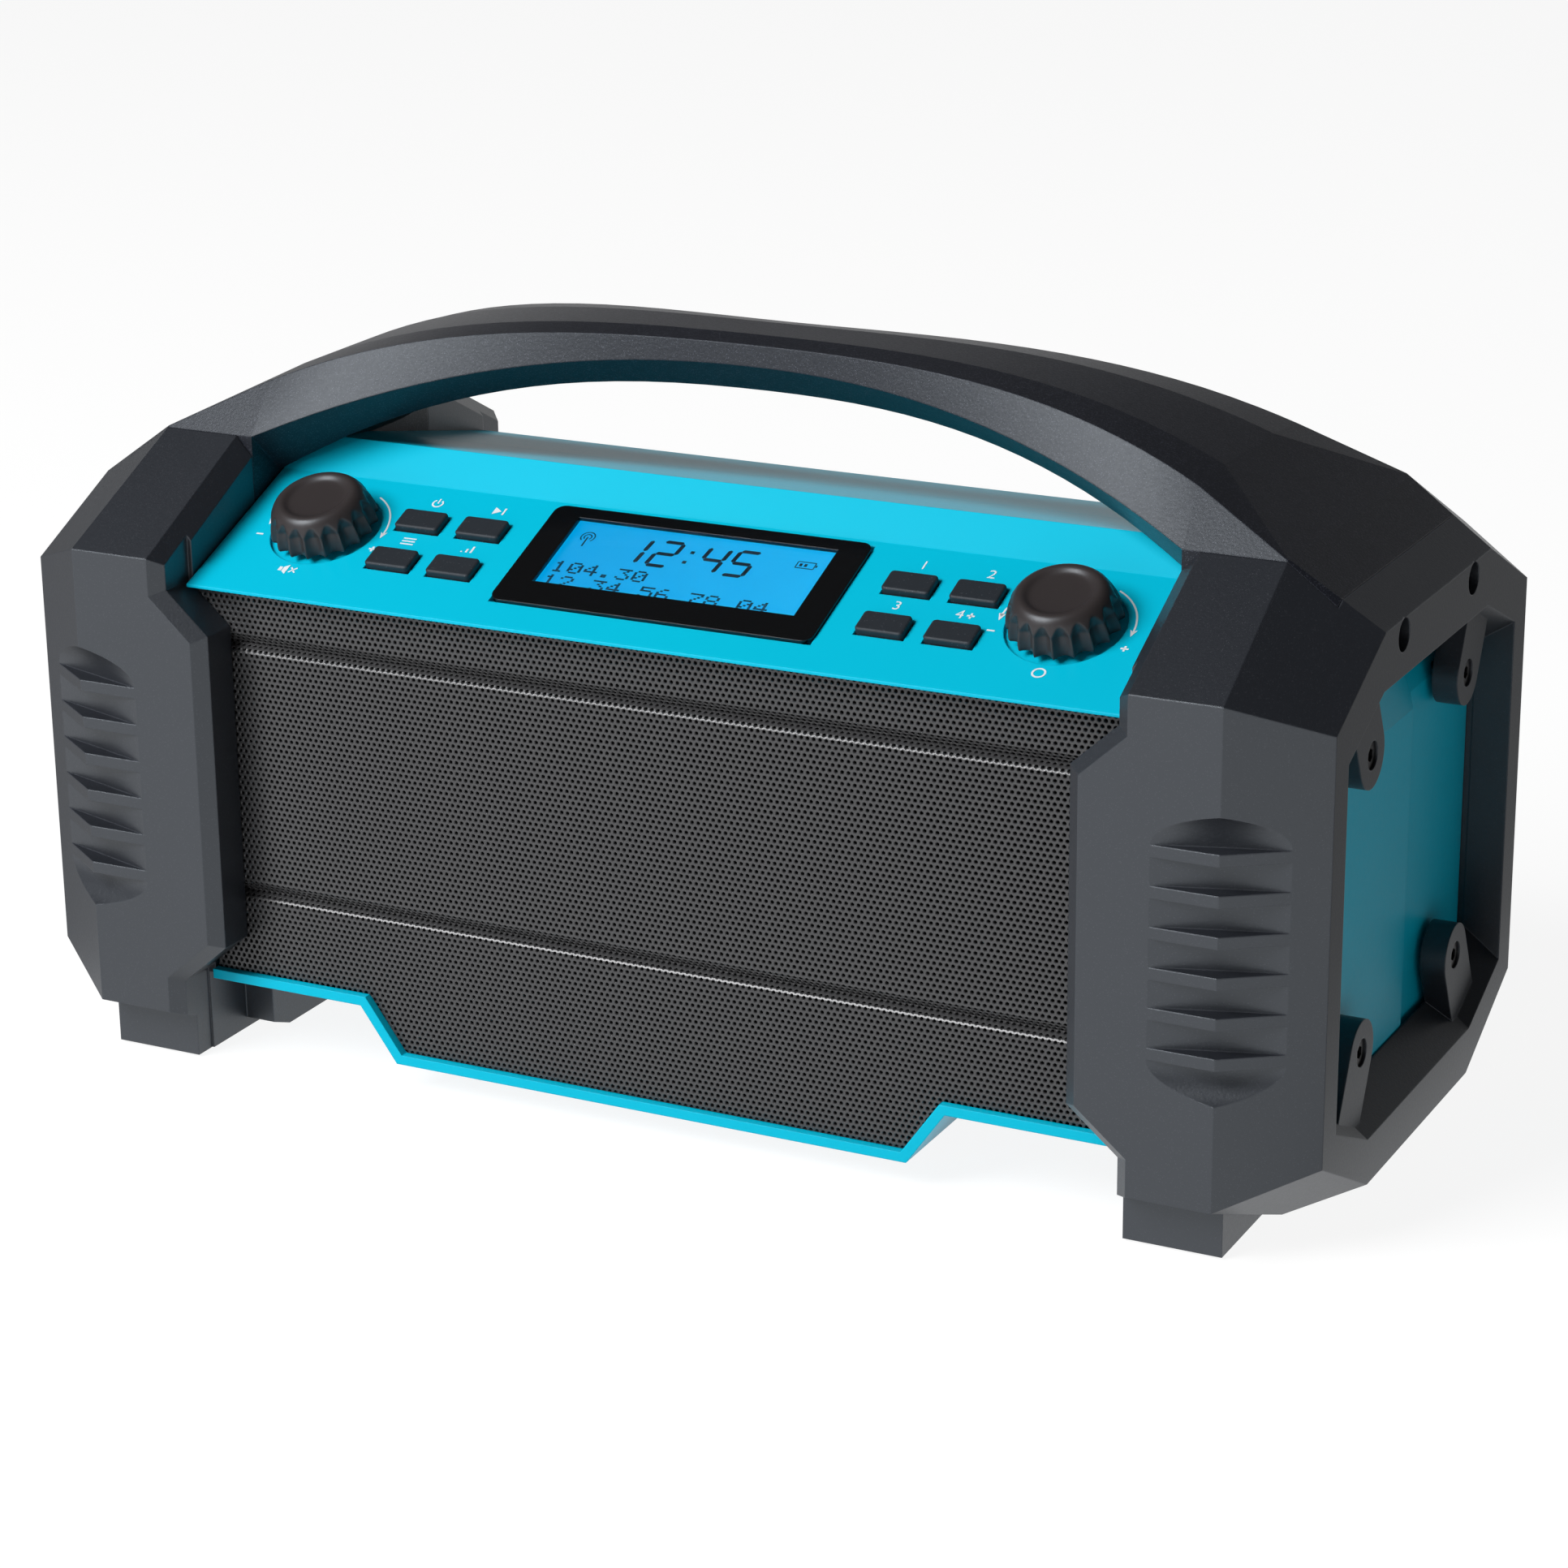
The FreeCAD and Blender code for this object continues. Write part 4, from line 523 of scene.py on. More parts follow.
@dataclass(frozen=True)
class LitGlass:
    """The display's lit background: brighter to the right, with a faint blotch."""

    name: str
    dim: tuple[float, float, float]
    bright: tuple[float, float, float]
    reach: float = 32.0

    def build(self) -> bpy.types.Material:
        """Makes the material: the colour runs along X from dim to bright and glows.

        Returns:
            The material.
        """
        material, tree, shader = new_material(self.name)
        where = tree.nodes.new("ShaderNodeTexCoord")
        split = tree.nodes.new("ShaderNodeSeparateXYZ")
        tree.links.new(where.outputs["Object"], split.inputs[0])
        ramp = tree.nodes.new("ShaderNodeMapRange")
        ramp.inputs["From Min"].default_value = -self.reach * MM
        ramp.inputs["From Max"].default_value = self.reach * MM
        tree.links.new(split.outputs["X"], ramp.inputs["Value"])
        blotch = SHOP.math(tree, "SUBTRACT", SHOP.noise(tree, 60.0), 0.5)
        share = SHOP.math(tree, "ADD", ramp.outputs[0], SHOP.math(tree, "MULTIPLY", blotch, 0.5))
        colour = tinted(tree, share, self.dim, self.bright)
        shader.inputs["Base Color"].default_value = (0.0, 0.02, 0.05, 1.0)
        tree.links.new(colour, shader.inputs["Emission Color"])
        shader.inputs["Emission Strength"].default_value = 0.9
        shader.inputs["Roughness"].default_value = 0.5
        return material


@dataclass(frozen=True)
class ClearWindow:
    """The clear window over the display."""

    name: str

    def build(self) -> bpy.types.Material:
        """Makes the material: smooth clear plastic with faint rubbed patches.

        Returns:
            The material.
        """
        material, tree, shader = new_material(self.name)
        rubbed = SHOP.math(tree, "MULTIPLY", SHOP.noise(tree, 90.0), 0.04)
        tree.links.new(rubbed, shader.inputs["Roughness"])
        shader.inputs["Base Color"].default_value = (0.97, 0.99, 1.0, 1.0)
        shader.inputs["Transmission Weight"].default_value = 1.0
        shader.inputs["IOR"].default_value = 1.3
        return material


@dataclass(frozen=True)
class Ink:
    """A printed mark or a display segment: even colour with a slightly broken print."""

    name: str
    colour: tuple[float, float, float]
    faded: tuple[float, float, float]

    def build(self) -> bpy.types.Material:
        """Makes the material: the colour fades a little by fine noise.

        Returns:
            The material.
        """
        material, tree, shader = new_material(self.name)
        colour = tinted(tree, SHOP.noise(tree, 2500.0), self.faded, self.colour)
        tree.links.new(colour, shader.inputs["Base Color"])
        shader.inputs["Roughness"].default_value = 0.5
        return material


@dataclass(init=False)
class Finishes:
    """Every finish of the radio."""

    bumper: bpy.types.Material
    handle: bpy.types.Material
    teal: bpy.types.Material
    bezel: bpy.types.Material
    window: bpy.types.Material
    lit: bpy.types.Material
    segment: bpy.types.Material
    print: bpy.types.Material
    button: bpy.types.Material
    dial: bpy.types.Material
    grille: bpy.types.Material
    screen: bpy.types.Material
    black_screw: bpy.types.Material
    steel: bpy.types.Material
    pad: bpy.types.Material
    tray: bpy.types.Material
    board: bpy.types.Material
    cells: bpy.types.Material
    cone: bpy.types.Material

    def __init__(self) -> None:
        """Builds each finish once."""
        self.bumper = Moulded("bumper_plastic", (0.0125, 0.014, 0.019), 0.42, 0.03, 1600.0, 0.12,
                              speck_colour=(0.045, 0.047, 0.056), drift=0.2, edge_highlight_lift=2.2,
                              specular=1.0).build()
        self.handle = Moulded("handle_plastic", (0.012, 0.0132, 0.0185), 0.38, 0.03, 1500.0, 0.28,
                              speck_colour=(0.07, 0.075, 0.095), drift=0.15, edge_highlight_lift=2.2,
                              specular=0.3).build()
        self.teal = Moulded("teal_plastic", (0.0012, 0.50, 0.70), 0.36, 0.004, 900.0, 0.0,
                            drift=0.04, edge_radius=0.4, edge_highlight_lift=1.15, specular=0.14).build()
        self.bezel = Moulded("bezel_black", (0.0025, 0.0026, 0.003), 0.16, 0.001, 600.0, 0.0,
                             drift=0.1, edge_radius=0.3, edge_highlight_lift=1.6).build()
        self.window = ClearWindow("clear_window").build()
        self.lit = LitGlass("lit_display", (0.0, 0.41, 0.86), (0.006, 0.5, 0.98)).build()
        self.segment = Ink("display_segment", (0.004, 0.018, 0.045), (0.002, 0.01, 0.03)).build()
        self.print = Ink("white_print", (0.85, 0.88, 0.9), (0.7, 0.76, 0.8)).build()
        self.button = Moulded("button_rubber", (0.014, 0.017, 0.022), 0.55, 0.02, 2200.0, 0.03,
                              (0.10, 0.11, 0.13), 0.15, 0.55, 1.8).build()
        self.dial = Moulded("dial_rubber", (0.034, 0.028, 0.028), 0.36, 0.01, 2600.0, 0.0,
                            drift=0.1, edge_radius=0.2, edge_highlight_lift=1.2, specular=0.45).build()
        self.grille = Metal("grille_coat", (0.07, 0.07, 0.073), 0.28, 0.25, 0.15).build()
        self.screen = Moulded("dust_screen", (0.003, 0.003, 0.0032), 0.9, 0.05, 2500.0, 0.0,
                              specular=0.1).build()
        self.black_screw = Metal("black_screw", (0.03, 0.03, 0.032), 0.35, 0.8, 0.2).build()
        self.steel = Metal("plated_steel", (0.5, 0.5, 0.52), 0.28, 1.0, 0.1).build()
        self.pad = Moulded("pad_rubber", (0.012, 0.012, 0.013), 0.7, 0.03, 1500.0, 0.0).build()
        self.tray = Moulded("tray_plastic", (0.02, 0.02, 0.022), 0.5, 0.02, 1800.0, 0.0).build()
        self.board = Moulded("board_mask", (0.01, 0.10, 0.04), 0.3, 0.004, 900.0, 0.0).build()
        self.cells = Moulded("cell_sleeve", (0.02, 0.05, 0.2), 0.3, 0.004, 900.0, 0.0).build()
        self.cone = Moulded("cone_paper", (0.02, 0.02, 0.022), 0.7, 0.05, 2000.0, 0.0).build()


# Sub-assemblies


@dataclass
class Bumpers:
    """Both corner bumpers, the handle between them, their screws and the rubber pads."""

    finishes: Finishes

    def dress(self, frame: dict) -> None:
        """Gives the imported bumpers, handle, screws and pads their finishes.

        Args:
            frame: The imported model.
        """
        dress(frame, self.finishes.bumper, "left_bumper", "right_bumper")
        dress(frame, self.finishes.handle, "carry_handle")
        dress(frame, self.finishes.black_screw, "bumper_screws", "handle_screws")
        dress(frame, self.finishes.pad, "foot_pads")


@dataclass
class Housing:
    """The teal shells with what they hold and the pieces on their back."""

    finishes: Finishes

    def dress(self, frame: dict) -> None:
        """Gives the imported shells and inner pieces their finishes.

        Args:
            frame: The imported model.
        """
        dress(frame, self.finishes.teal, "front_housing", "rear_housing")
        dress(frame, self.finishes.steel, "housing_screws", "door_screws", "volume_encoder", "tuning_encoder",
              "volume_shaft", "tuning_shaft", "left_speaker_basket", "right_speaker_basket",
              "antenna_pivot_screw")
        dress(frame, self.finishes.tray, "battery_door", "battery_tray", "tact_switches", "dc_socket",
              "aux_socket", "volume_switch_plunger", "tuning_switch_plunger", "left_speaker_magnet",
              "right_speaker_magnet", "antenna_knuckle", "antenna_rest", "antenna_cap")
        dress(frame, self.finishes.pad, "antenna_rod", "socket_cover", "speaker_gaskets")
        dress(frame, self.finishes.board, "control_board", "main_board")
        dress(frame, self.finishes.cells, "battery_cells")
        dress(frame, self.finishes.cone, "left_speaker_cone", "right_speaker_cone")


@dataclass
class SpeakerGrille:
    """The formed sheet with its round holes, in four bands, and the black screen behind it."""

    finishes: Finishes
    face_y: float = -65.0
    half: float = 115.2
    top: float = 115.7
    ridges: tuple[float, float] = (100.8, 40.1)
    groove_depth: float = 2.4
    groove_rise: float = 4.6
    groove_lip: float = 1.9
    groove_foot: tuple[float, float] = (0.55, 0.75)
    low: float = 8.75
    high: float = 21.75
    half_low: float = 63.87
    half_high: float = 73.17
    pitch: float = 1.5
    hole: float = 0.43
    rim: float = 0.16
    sheet: float = 0.9
    screen_gap: float = 0.08
    least_area: float = 1e-3
    bands: tuple[str, ...] = ("grille_top_band", "grille_upper_band", "grille_lower_band",
                              "grille_bottom_band")

    def profile(self) -> tuple[np.ndarray, np.ndarray, np.ndarray]:
        """The sheet's line from top to bottom.

        Returns:
            Length along the line, depth and height at its corners.
        """
        line = [(self.face_y, self.top)]
        for ridge in self.ridges:
            line += [(self.face_y, ridge + self.groove_rise),
                     (self.face_y + self.groove_depth, ridge + self.groove_lip),
                     (self.face_y + self.groove_foot[0], ridge + self.groove_foot[1]), (self.face_y, ridge)]
        line.append((self.face_y, self.low))
        yz = np.array(line)
        run = np.concatenate([[0.0], np.cumsum(np.hypot(*np.diff(yz, axis=0).T))])
        return run, yz[:, 0], yz[:, 1]

    def trimmed(self, flat: np.ndarray) -> np.ndarray:
        """Pulls flat places that lie past the sheet's outline back onto it.

        The lowest length at an x follows the keel: low in the middle, high outside, a slope between.

        Args:
            flat: Rows of x and length along the line.

        Returns:
            The same rows, held inside the outline.
        """
        run, _, z = self.profile()
        floor = np.interp(np.abs(flat[:, 0]), [self.half_low, self.half_high], [self.low, self.high])
        last = np.interp(-floor, -z[[-2, -1]], run[[-2, -1]])
        return np.stack([np.clip(flat[:, 0], -self.half, self.half), np.clip(flat[:, 1], 0.0, last)], axis=1)

    def lifted(self, flat: np.ndarray, depth: float) -> np.ndarray:
        """Places on the formed sheet, or a depth behind it.

        Args:
            flat: Rows of x and length along the line.
            depth: How far behind the sheet's face.

        Returns:
            Rows of x, y and z.
        """
        run, y, z = self.profile()
        return np.stack([flat[:, 0], np.interp(flat[:, 1], run, y) + depth, np.interp(flat[:, 1], run, z)],
                        axis=1)

    def holes(self, start: float, stop: float) -> tuple[np.ndarray, np.ndarray]:
        """The punched sheet between two lengths: each six-sided cell is a ring, a sunk rim and a wall.

        Cells stand on a staggered lattice, odd rows shifted by half a pitch. Corner k of a cell is at angle
        30 + 60k degrees on the cell's edge, on the rim's edge, on the hole as deep as the rim is wide, and on
        the hole at the back of the sheet.

        Args:
            start: First length along the line.
            stop: Last length along the line.

        Returns:
            Points and quads.
        """
        step = self.pitch * math.sqrt(3) / 2
        rows = np.arange(math.ceil(start / step), math.ceil(stop / step))
        reach = math.ceil(self.half / self.pitch)
        columns = np.arange(-reach - 1, reach + 2)
        r, c = np.meshgrid(rows, columns, indexing="ij")
        centres = np.stack([(c + (r % 2) / 2) * self.pitch, (r + 0.5) * step], axis=-1).reshape(-1, 2)
        angles = np.radians(30 + 60 * np.arange(6))
        spokes = np.stack([np.cos(angles), np.sin(angles)], axis=1)
        outer = centres[:, None] + spokes * (self.pitch / math.sqrt(3))
        lip = centres[:, None] + spokes * (self.hole + self.rim)
        inner = centres[:, None] + spokes * self.hole
        flat_outer, flat_lip, flat_inner = (self.trimmed(s.reshape(-1, 2)) for s in (outer, lip, inner))
        points = np.concatenate([self.lifted(flat_outer, 0.0), self.lifted(flat_lip, 0.0),
                                 self.lifted(flat_inner, self.rim), self.lifted(flat_inner, self.sheet)])
        k = np.arange(6)
        base = np.arange(len(centres))[:, None] * 6
        a, b = base + k, base + (k + 1) % 6
        n = len(centres) * 6
        faces = np.concatenate([np.stack([a + i, b + i, b + i + n, a + i + n], axis=-1).reshape(-1, 4)
                                for i in (0, n, 2 * n)])
        corner = points[faces]
        area = np.linalg.norm(np.cross(corner[:, 2] - corner[:, 0], corner[:, 3] - corner[:, 1]), axis=1)
        return points, faces[area > self.least_area]

    def build(self) -> None:
        """Makes the four punched bands and the screen."""
        run, _, _ = self.profile()
        stops = [0.0, run[4], (run[4] + run[5]) / 2, run[8], run[9]]
        for name, start, stop in zip(self.bands, stops[:-1], stops[1:]):
            points, faces = self.holes(start, stop)
            make_piece(name, points, faces, self.finishes.grille,
                       replaces=("speaker_grille",))
        columns = np.array([-self.half, -self.half_high, -self.half_low,
                            self.half_low, self.half_high, self.half])
        s, x = np.meshgrid(run, columns, indexing="ij")
        flat = self.trimmed(np.stack([x.ravel(), s.ravel()], axis=1))
        make_piece("dust_screen", self.lifted(flat, self.sheet + self.screen_gap),
                   grid_faces(len(run), len(columns))[:, ::-1], self.finishes.screen)


@dataclass
class Dial:
    """A turning knob: a domed cap with a dished top and scallops cut up its skirt."""

    finishes: Finishes
    name: str
    across: float
    lift: float = 0.3
    flutes: int = 18
    flute_depth: float = 1.5
    flute_full: float = 5.0
    flute_fade: float = 0.55
    flute_columns: int = 14
    rows: int = 90
    skirt_start: float = 9.5
    skirt_blend: float = 1.5
    profile: tuple[tuple[float, float], ...] = (
        (2.3, 0.0), (11.9, 0.0), (12.5, 0.12), (12.75, 0.5), (12.72, 1.6), (12.5, 3.0), (12.1, 4.6),
        (11.5, 6.2), (10.8, 7.5), (10.1, 8.4), (9.4, 8.95), (8.7, 9.2), (8.1, 9.15), (7.5, 8.85), (7.0, 8.45),
        (6.3, 8.25), (4.5, 8.15), (2.2, 8.12), (0.02, 8.12))

    def build(self) -> None:
        """Makes the cap.

        The radius at a height is the profile's, less the scallop: depth times one minus the squared distance
        from the scallop's middle, less a fade with height, never below nothing. The scallop comes in over
        the skirt alone, so that the dished top stays round.
        """
        line = np.array(self.profile)
        length = np.concatenate([[0.0], np.cumsum(np.hypot(*np.diff(line, axis=0).T))])
        fine = np.interp(np.linspace(0, length[-1], self.rows), length, np.arange(len(line)))
        index = np.arange(len(line))
        radius, height = np.interp(fine, index, line[:, 0]), np.interp(fine, index, line[:, 1])
        for _ in range(2):
            radius[1:-1] = (radius[:-2] + 2 * radius[1:-1] + radius[2:]) / 4
            height[1:-1] = (height[:-2] + 2 * height[1:-1] + height[2:]) / 4
        columns = self.flutes * self.flute_columns
        turn = np.linspace(0, 2 * math.pi, columns, endpoint=False)
        phase = (turn * self.flutes / (2 * math.pi)) % 1.0
        bowl = 1 - (2 * phase - 1) ** 2
        cut = np.maximum(0.0, self.flute_depth * bowl[None, :]
                         - self.flute_fade * np.maximum(0.0, height[:, None] - self.flute_full))
        skirt = np.clip((radius[:, None] - self.skirt_start) / self.skirt_blend, 0.0, 1.0)
        r = radius[:, None] - cut * skirt
        local = np.stack([self.across + r * np.cos(turn), SLOPE.dial_along + r * np.sin(turn),
                          np.broadcast_to(self.lift + height[:, None], r.shape)], axis=-1).reshape(-1, 3)
        make_piece(self.name + "_dial_cap", SLOPE.place(local), grid_faces(len(radius), columns, True),
                   self.finishes.dial, self.name + "_dial", True, (self.name + "_knob",))


@dataclass
class PushButtons:
    """The eight soft push buttons."""

    finishes: Finishes
    names: tuple[str, ...] = ("power_button", "mode_button", "menu_button", "tone_button", "preset_1_button",
                              "preset_2_button", "preset_3_button", "preset_4_button")

    def dress(self, frame: dict) -> None:
        """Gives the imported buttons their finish.

        Args:
            frame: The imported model.
        """
        dress(frame, self.finishes.button, *self.names)


def stroke(points: np.ndarray, width: float) -> tuple[np.ndarray, np.ndarray]:
    """A flat ribbon along a line.

    Each point gets two, half the width to each side, square to the line's direction there.

    Args:
        points: Rows of across and along.
        width: The ribbon's width.

    Returns:
        Flat points and quads.
    """
    way = np.gradient(points, axis=0)
    way /= np.linalg.norm(way, axis=1, keepdims=True)
    side = np.stack([-way[:, 1], way[:, 0]], axis=1) * width / 2
    count = len(points)
    i = np.arange(count - 1)
    quads = np.stack([i, i + count, i + count + 1, i + 1], axis=1)
    return np.concatenate([points + side, points - side]), quads


def straight(rows: Iterable[tuple[float, ...]]) -> list[tuple[np.ndarray, np.ndarray]]:
    """Straight ribbons.

    Args:
        rows: For each ribbon, across and along of its start and of its end, and its width.

    Returns:
        Flat points and quads of each.
    """
    return [stroke(np.array(row[:4]).reshape(2, 2), row[4]) for row in rows]


def arc(centre: tuple[float, float], radius: float, start: float, stop: float, count: int = 24) -> np.ndarray:
    """Points on a circle from one angle to another.

    Args:
        centre: The circle's middle.
        radius: Its radius.
        start: First angle in degrees.
        stop: Last angle in degrees.
        count: How many points.

    Returns:
        Rows of across and along.
    """
    angle = np.radians(np.linspace(start, stop, count))
    return np.stack([centre[0] + radius * np.cos(angle), centre[1] + radius * np.sin(angle)], axis=1)


def numeral(text: str, height: float, centre: tuple[float, float]) -> tuple[np.ndarray, np.ndarray]:
    """The flat shape of a plain number, as triangles.

    Args:
        text: The number.
        height: Height of a digit.
        centre: Middle of the number.

    Returns:
        Flat points and triangles.
    """
    curve = bpy.data.curves.new("numeral", "FONT")
    curve.body = text
    curve.size = height / DIGIT_SHARE
    holder = added("numeral", curve)
    bpy.context.view_layer.update()
    mesh = bpy.data.meshes.new_from_object(holder)
    points = np.zeros(len(mesh.vertices) * 3, np.float32)
    mesh.vertices.foreach_get("co", points)
    mesh.calc_loop_triangles()
    faces = np.zeros(len(mesh.loop_triangles) * 3, np.int32)
    mesh.loop_triangles.foreach_get("vertices", faces)
    bpy.data.objects.remove(holder)
    bpy.data.curves.remove(curve)
    bpy.data.meshes.remove(mesh)
    flat = points.reshape(-1, 3)[:, :2].astype(float)
    flat += np.array(centre) - (flat.min(0) + flat.max(0)) / 2
    return flat, faces.reshape(-1, 3)


def as_triangles(quads: np.ndarray) -> np.ndarray:
    """Splits each quad into two triangles."""
    return np.concatenate([quads[:, [0, 1, 2]], quads[:, [0, 2, 3]]])


@dataclass
class PanelPrint:
    """The plain marks printed on the control panel: numbers, arrows, signs and a power sign."""

    finishes: Finishes
    rise: float = 0.05
    line: float = 0.5
    reach: float = 0.9
    ring: float = 15.1
    barb: float = 0.85
    digit: float = 2.9
    sweeps: tuple[tuple[float, float], ...] = ((62.0, -4.0), (150.0, 185.0))
    dial_signs: tuple[tuple[float, float, bool], ...] = ((15.3, 20.6, True), (-15.4, 20.8, False))
    station_sign: tuple[float, float] = (70.9, 24.6)
    # The power sign's ring and the ring by the right dial: middle, radius, angles, points, width.
    rings: tuple[tuple[float, ...], ...] = (
        (-70.0, 39.5, 1.25, 125, 415, 24, 0.42), (92.8, 9.4, 1.4, 0, 360, 33, 0.45))
    # The power sign's bar, the mute sign's cross, the bar by the triangle, three level and three rising bars.
    bars: tuple[tuple[float, ...], ...] = (
        (-70.0, 39.5, -70.0, 41.2, 0.42), (-93.2, 8.8, -91.6, 10.6, 0.4), (-93.2, 10.6, -91.6, 8.8, 0.4),
        (-52.3, 38.3, -52.3, 40.7, 0.45), (-71.6, 23.9, -68.2, 23.9, 0.42),
        (-71.6, 24.9, -68.2, 24.9, 0.42), (-71.6, 25.9, -68.2, 25.9, 0.42),
        (-55.3, 23.7, -55.3, 24.0, 0.5), (-54.1, 23.7, -54.1, 25.0, 0.5), (-52.9, 23.7, -52.9, 26.0, 0.5))
    # The mute sign's box and horn, and a triangle.
    blocks: tuple[tuple[tuple[float, float], ...], ...] = (
        ((-96.2, 9.0), (-95.3, 9.0), (-95.3, 10.4), (-96.2, 10.4)),
        ((-95.1, 8.9), (-93.9, 8.0), (-93.9, 11.4), (-95.1, 10.5)),
        ((-53.0, 39.5), (-53.0, 39.5), (-55.0, 40.8), (-55.0, 38.2)))
    numbers: tuple[tuple[str, float, float], ...] = (
        ("1", 53.7, 39.4), ("2", 69.9, 39.2), ("3", 53.4, 24.9), ("4", 68.3, 24.8))

    def sign(self, centre: tuple[float, float], plus: bool) -> list[tuple[np.ndarray, np.ndarray]]:
        """A minus sign, or a plus sign of two bars.

        Args:
            centre: Its place on the panel.
            plus: Whether it gets its second bar.

        Returns:
            Flat points and quads of the bars.
        """
        x, along = centre
        rows = [(x - self.reach, along, x + self.reach, along, self.line)]
        if plus:
            rows.append((x, along - self.reach, x, along + self.reach, self.line))
        return straight(rows)

    def arrow(self, centre: tuple[float, float], start: float, stop: float) -> list:
        """An arc round a dial that ends in a barbed head.

        Args:
            centre: The dial's place on the panel.
            start: Angle where the arc starts, in degrees.
            stop: Angle at the head's tip, in degrees.

        Returns:
            Flat points and quads of the arc and the head.
        """
        heading = math.copysign(1.0, stop - start)
        curve = arc(centre, self.ring, start, stop - heading * 5)
        tip = arc(centre, self.ring, stop, stop, 1)[0]
        notch = arc(centre, self.ring, stop - heading * 6, stop - heading * 6, 1)[0]
        outer = arc(centre, self.ring + self.barb, stop - heading * 9, stop - heading * 9, 1)[0]
        inner = arc(centre, self.ring - self.barb, stop - heading * 9, stop - heading * 9, 1)[0]
        order = [0, 1, 2, 3] if heading < 0 else [3, 2, 1, 0]
        return [stroke(curve, self.line * 0.85), (np.array([tip, inner, notch, outer]), np.array([order]))]

    def build(self) -> None:
        """Makes all marks as one thin print."""
        quads = []
        for side in Side:
            x = side.value * SLOPE.dial_across
            for start, stop in self.sweeps:
                quads += self.arrow((x, SLOPE.dial_along), start, stop)
            for shift, along, plus in self.dial_signs:
                quads += self.sign((x + shift, along), plus)
        quads += self.sign(self.station_sign, True) + straight(self.bars)
        quads += [stroke(arc((x, along), radius, start, stop, count), width)
                  for x, along, radius, start, stop, count, width in self.rings]
        quads += [(np.array(corners), np.arange(4)[None, :]) for corners in self.blocks]
        parts = [(points, as_triangles(faces)) for points, faces in quads]
        parts += [numeral(text, self.digit, (x, along)) for text, x, along in self.numbers]
        flat, faces = joined(parts)
        local = np.column_stack([flat, np.full(len(flat), self.rise)])
        make_piece("panel_print", SLOPE.place(local), faces, self.finishes.print)


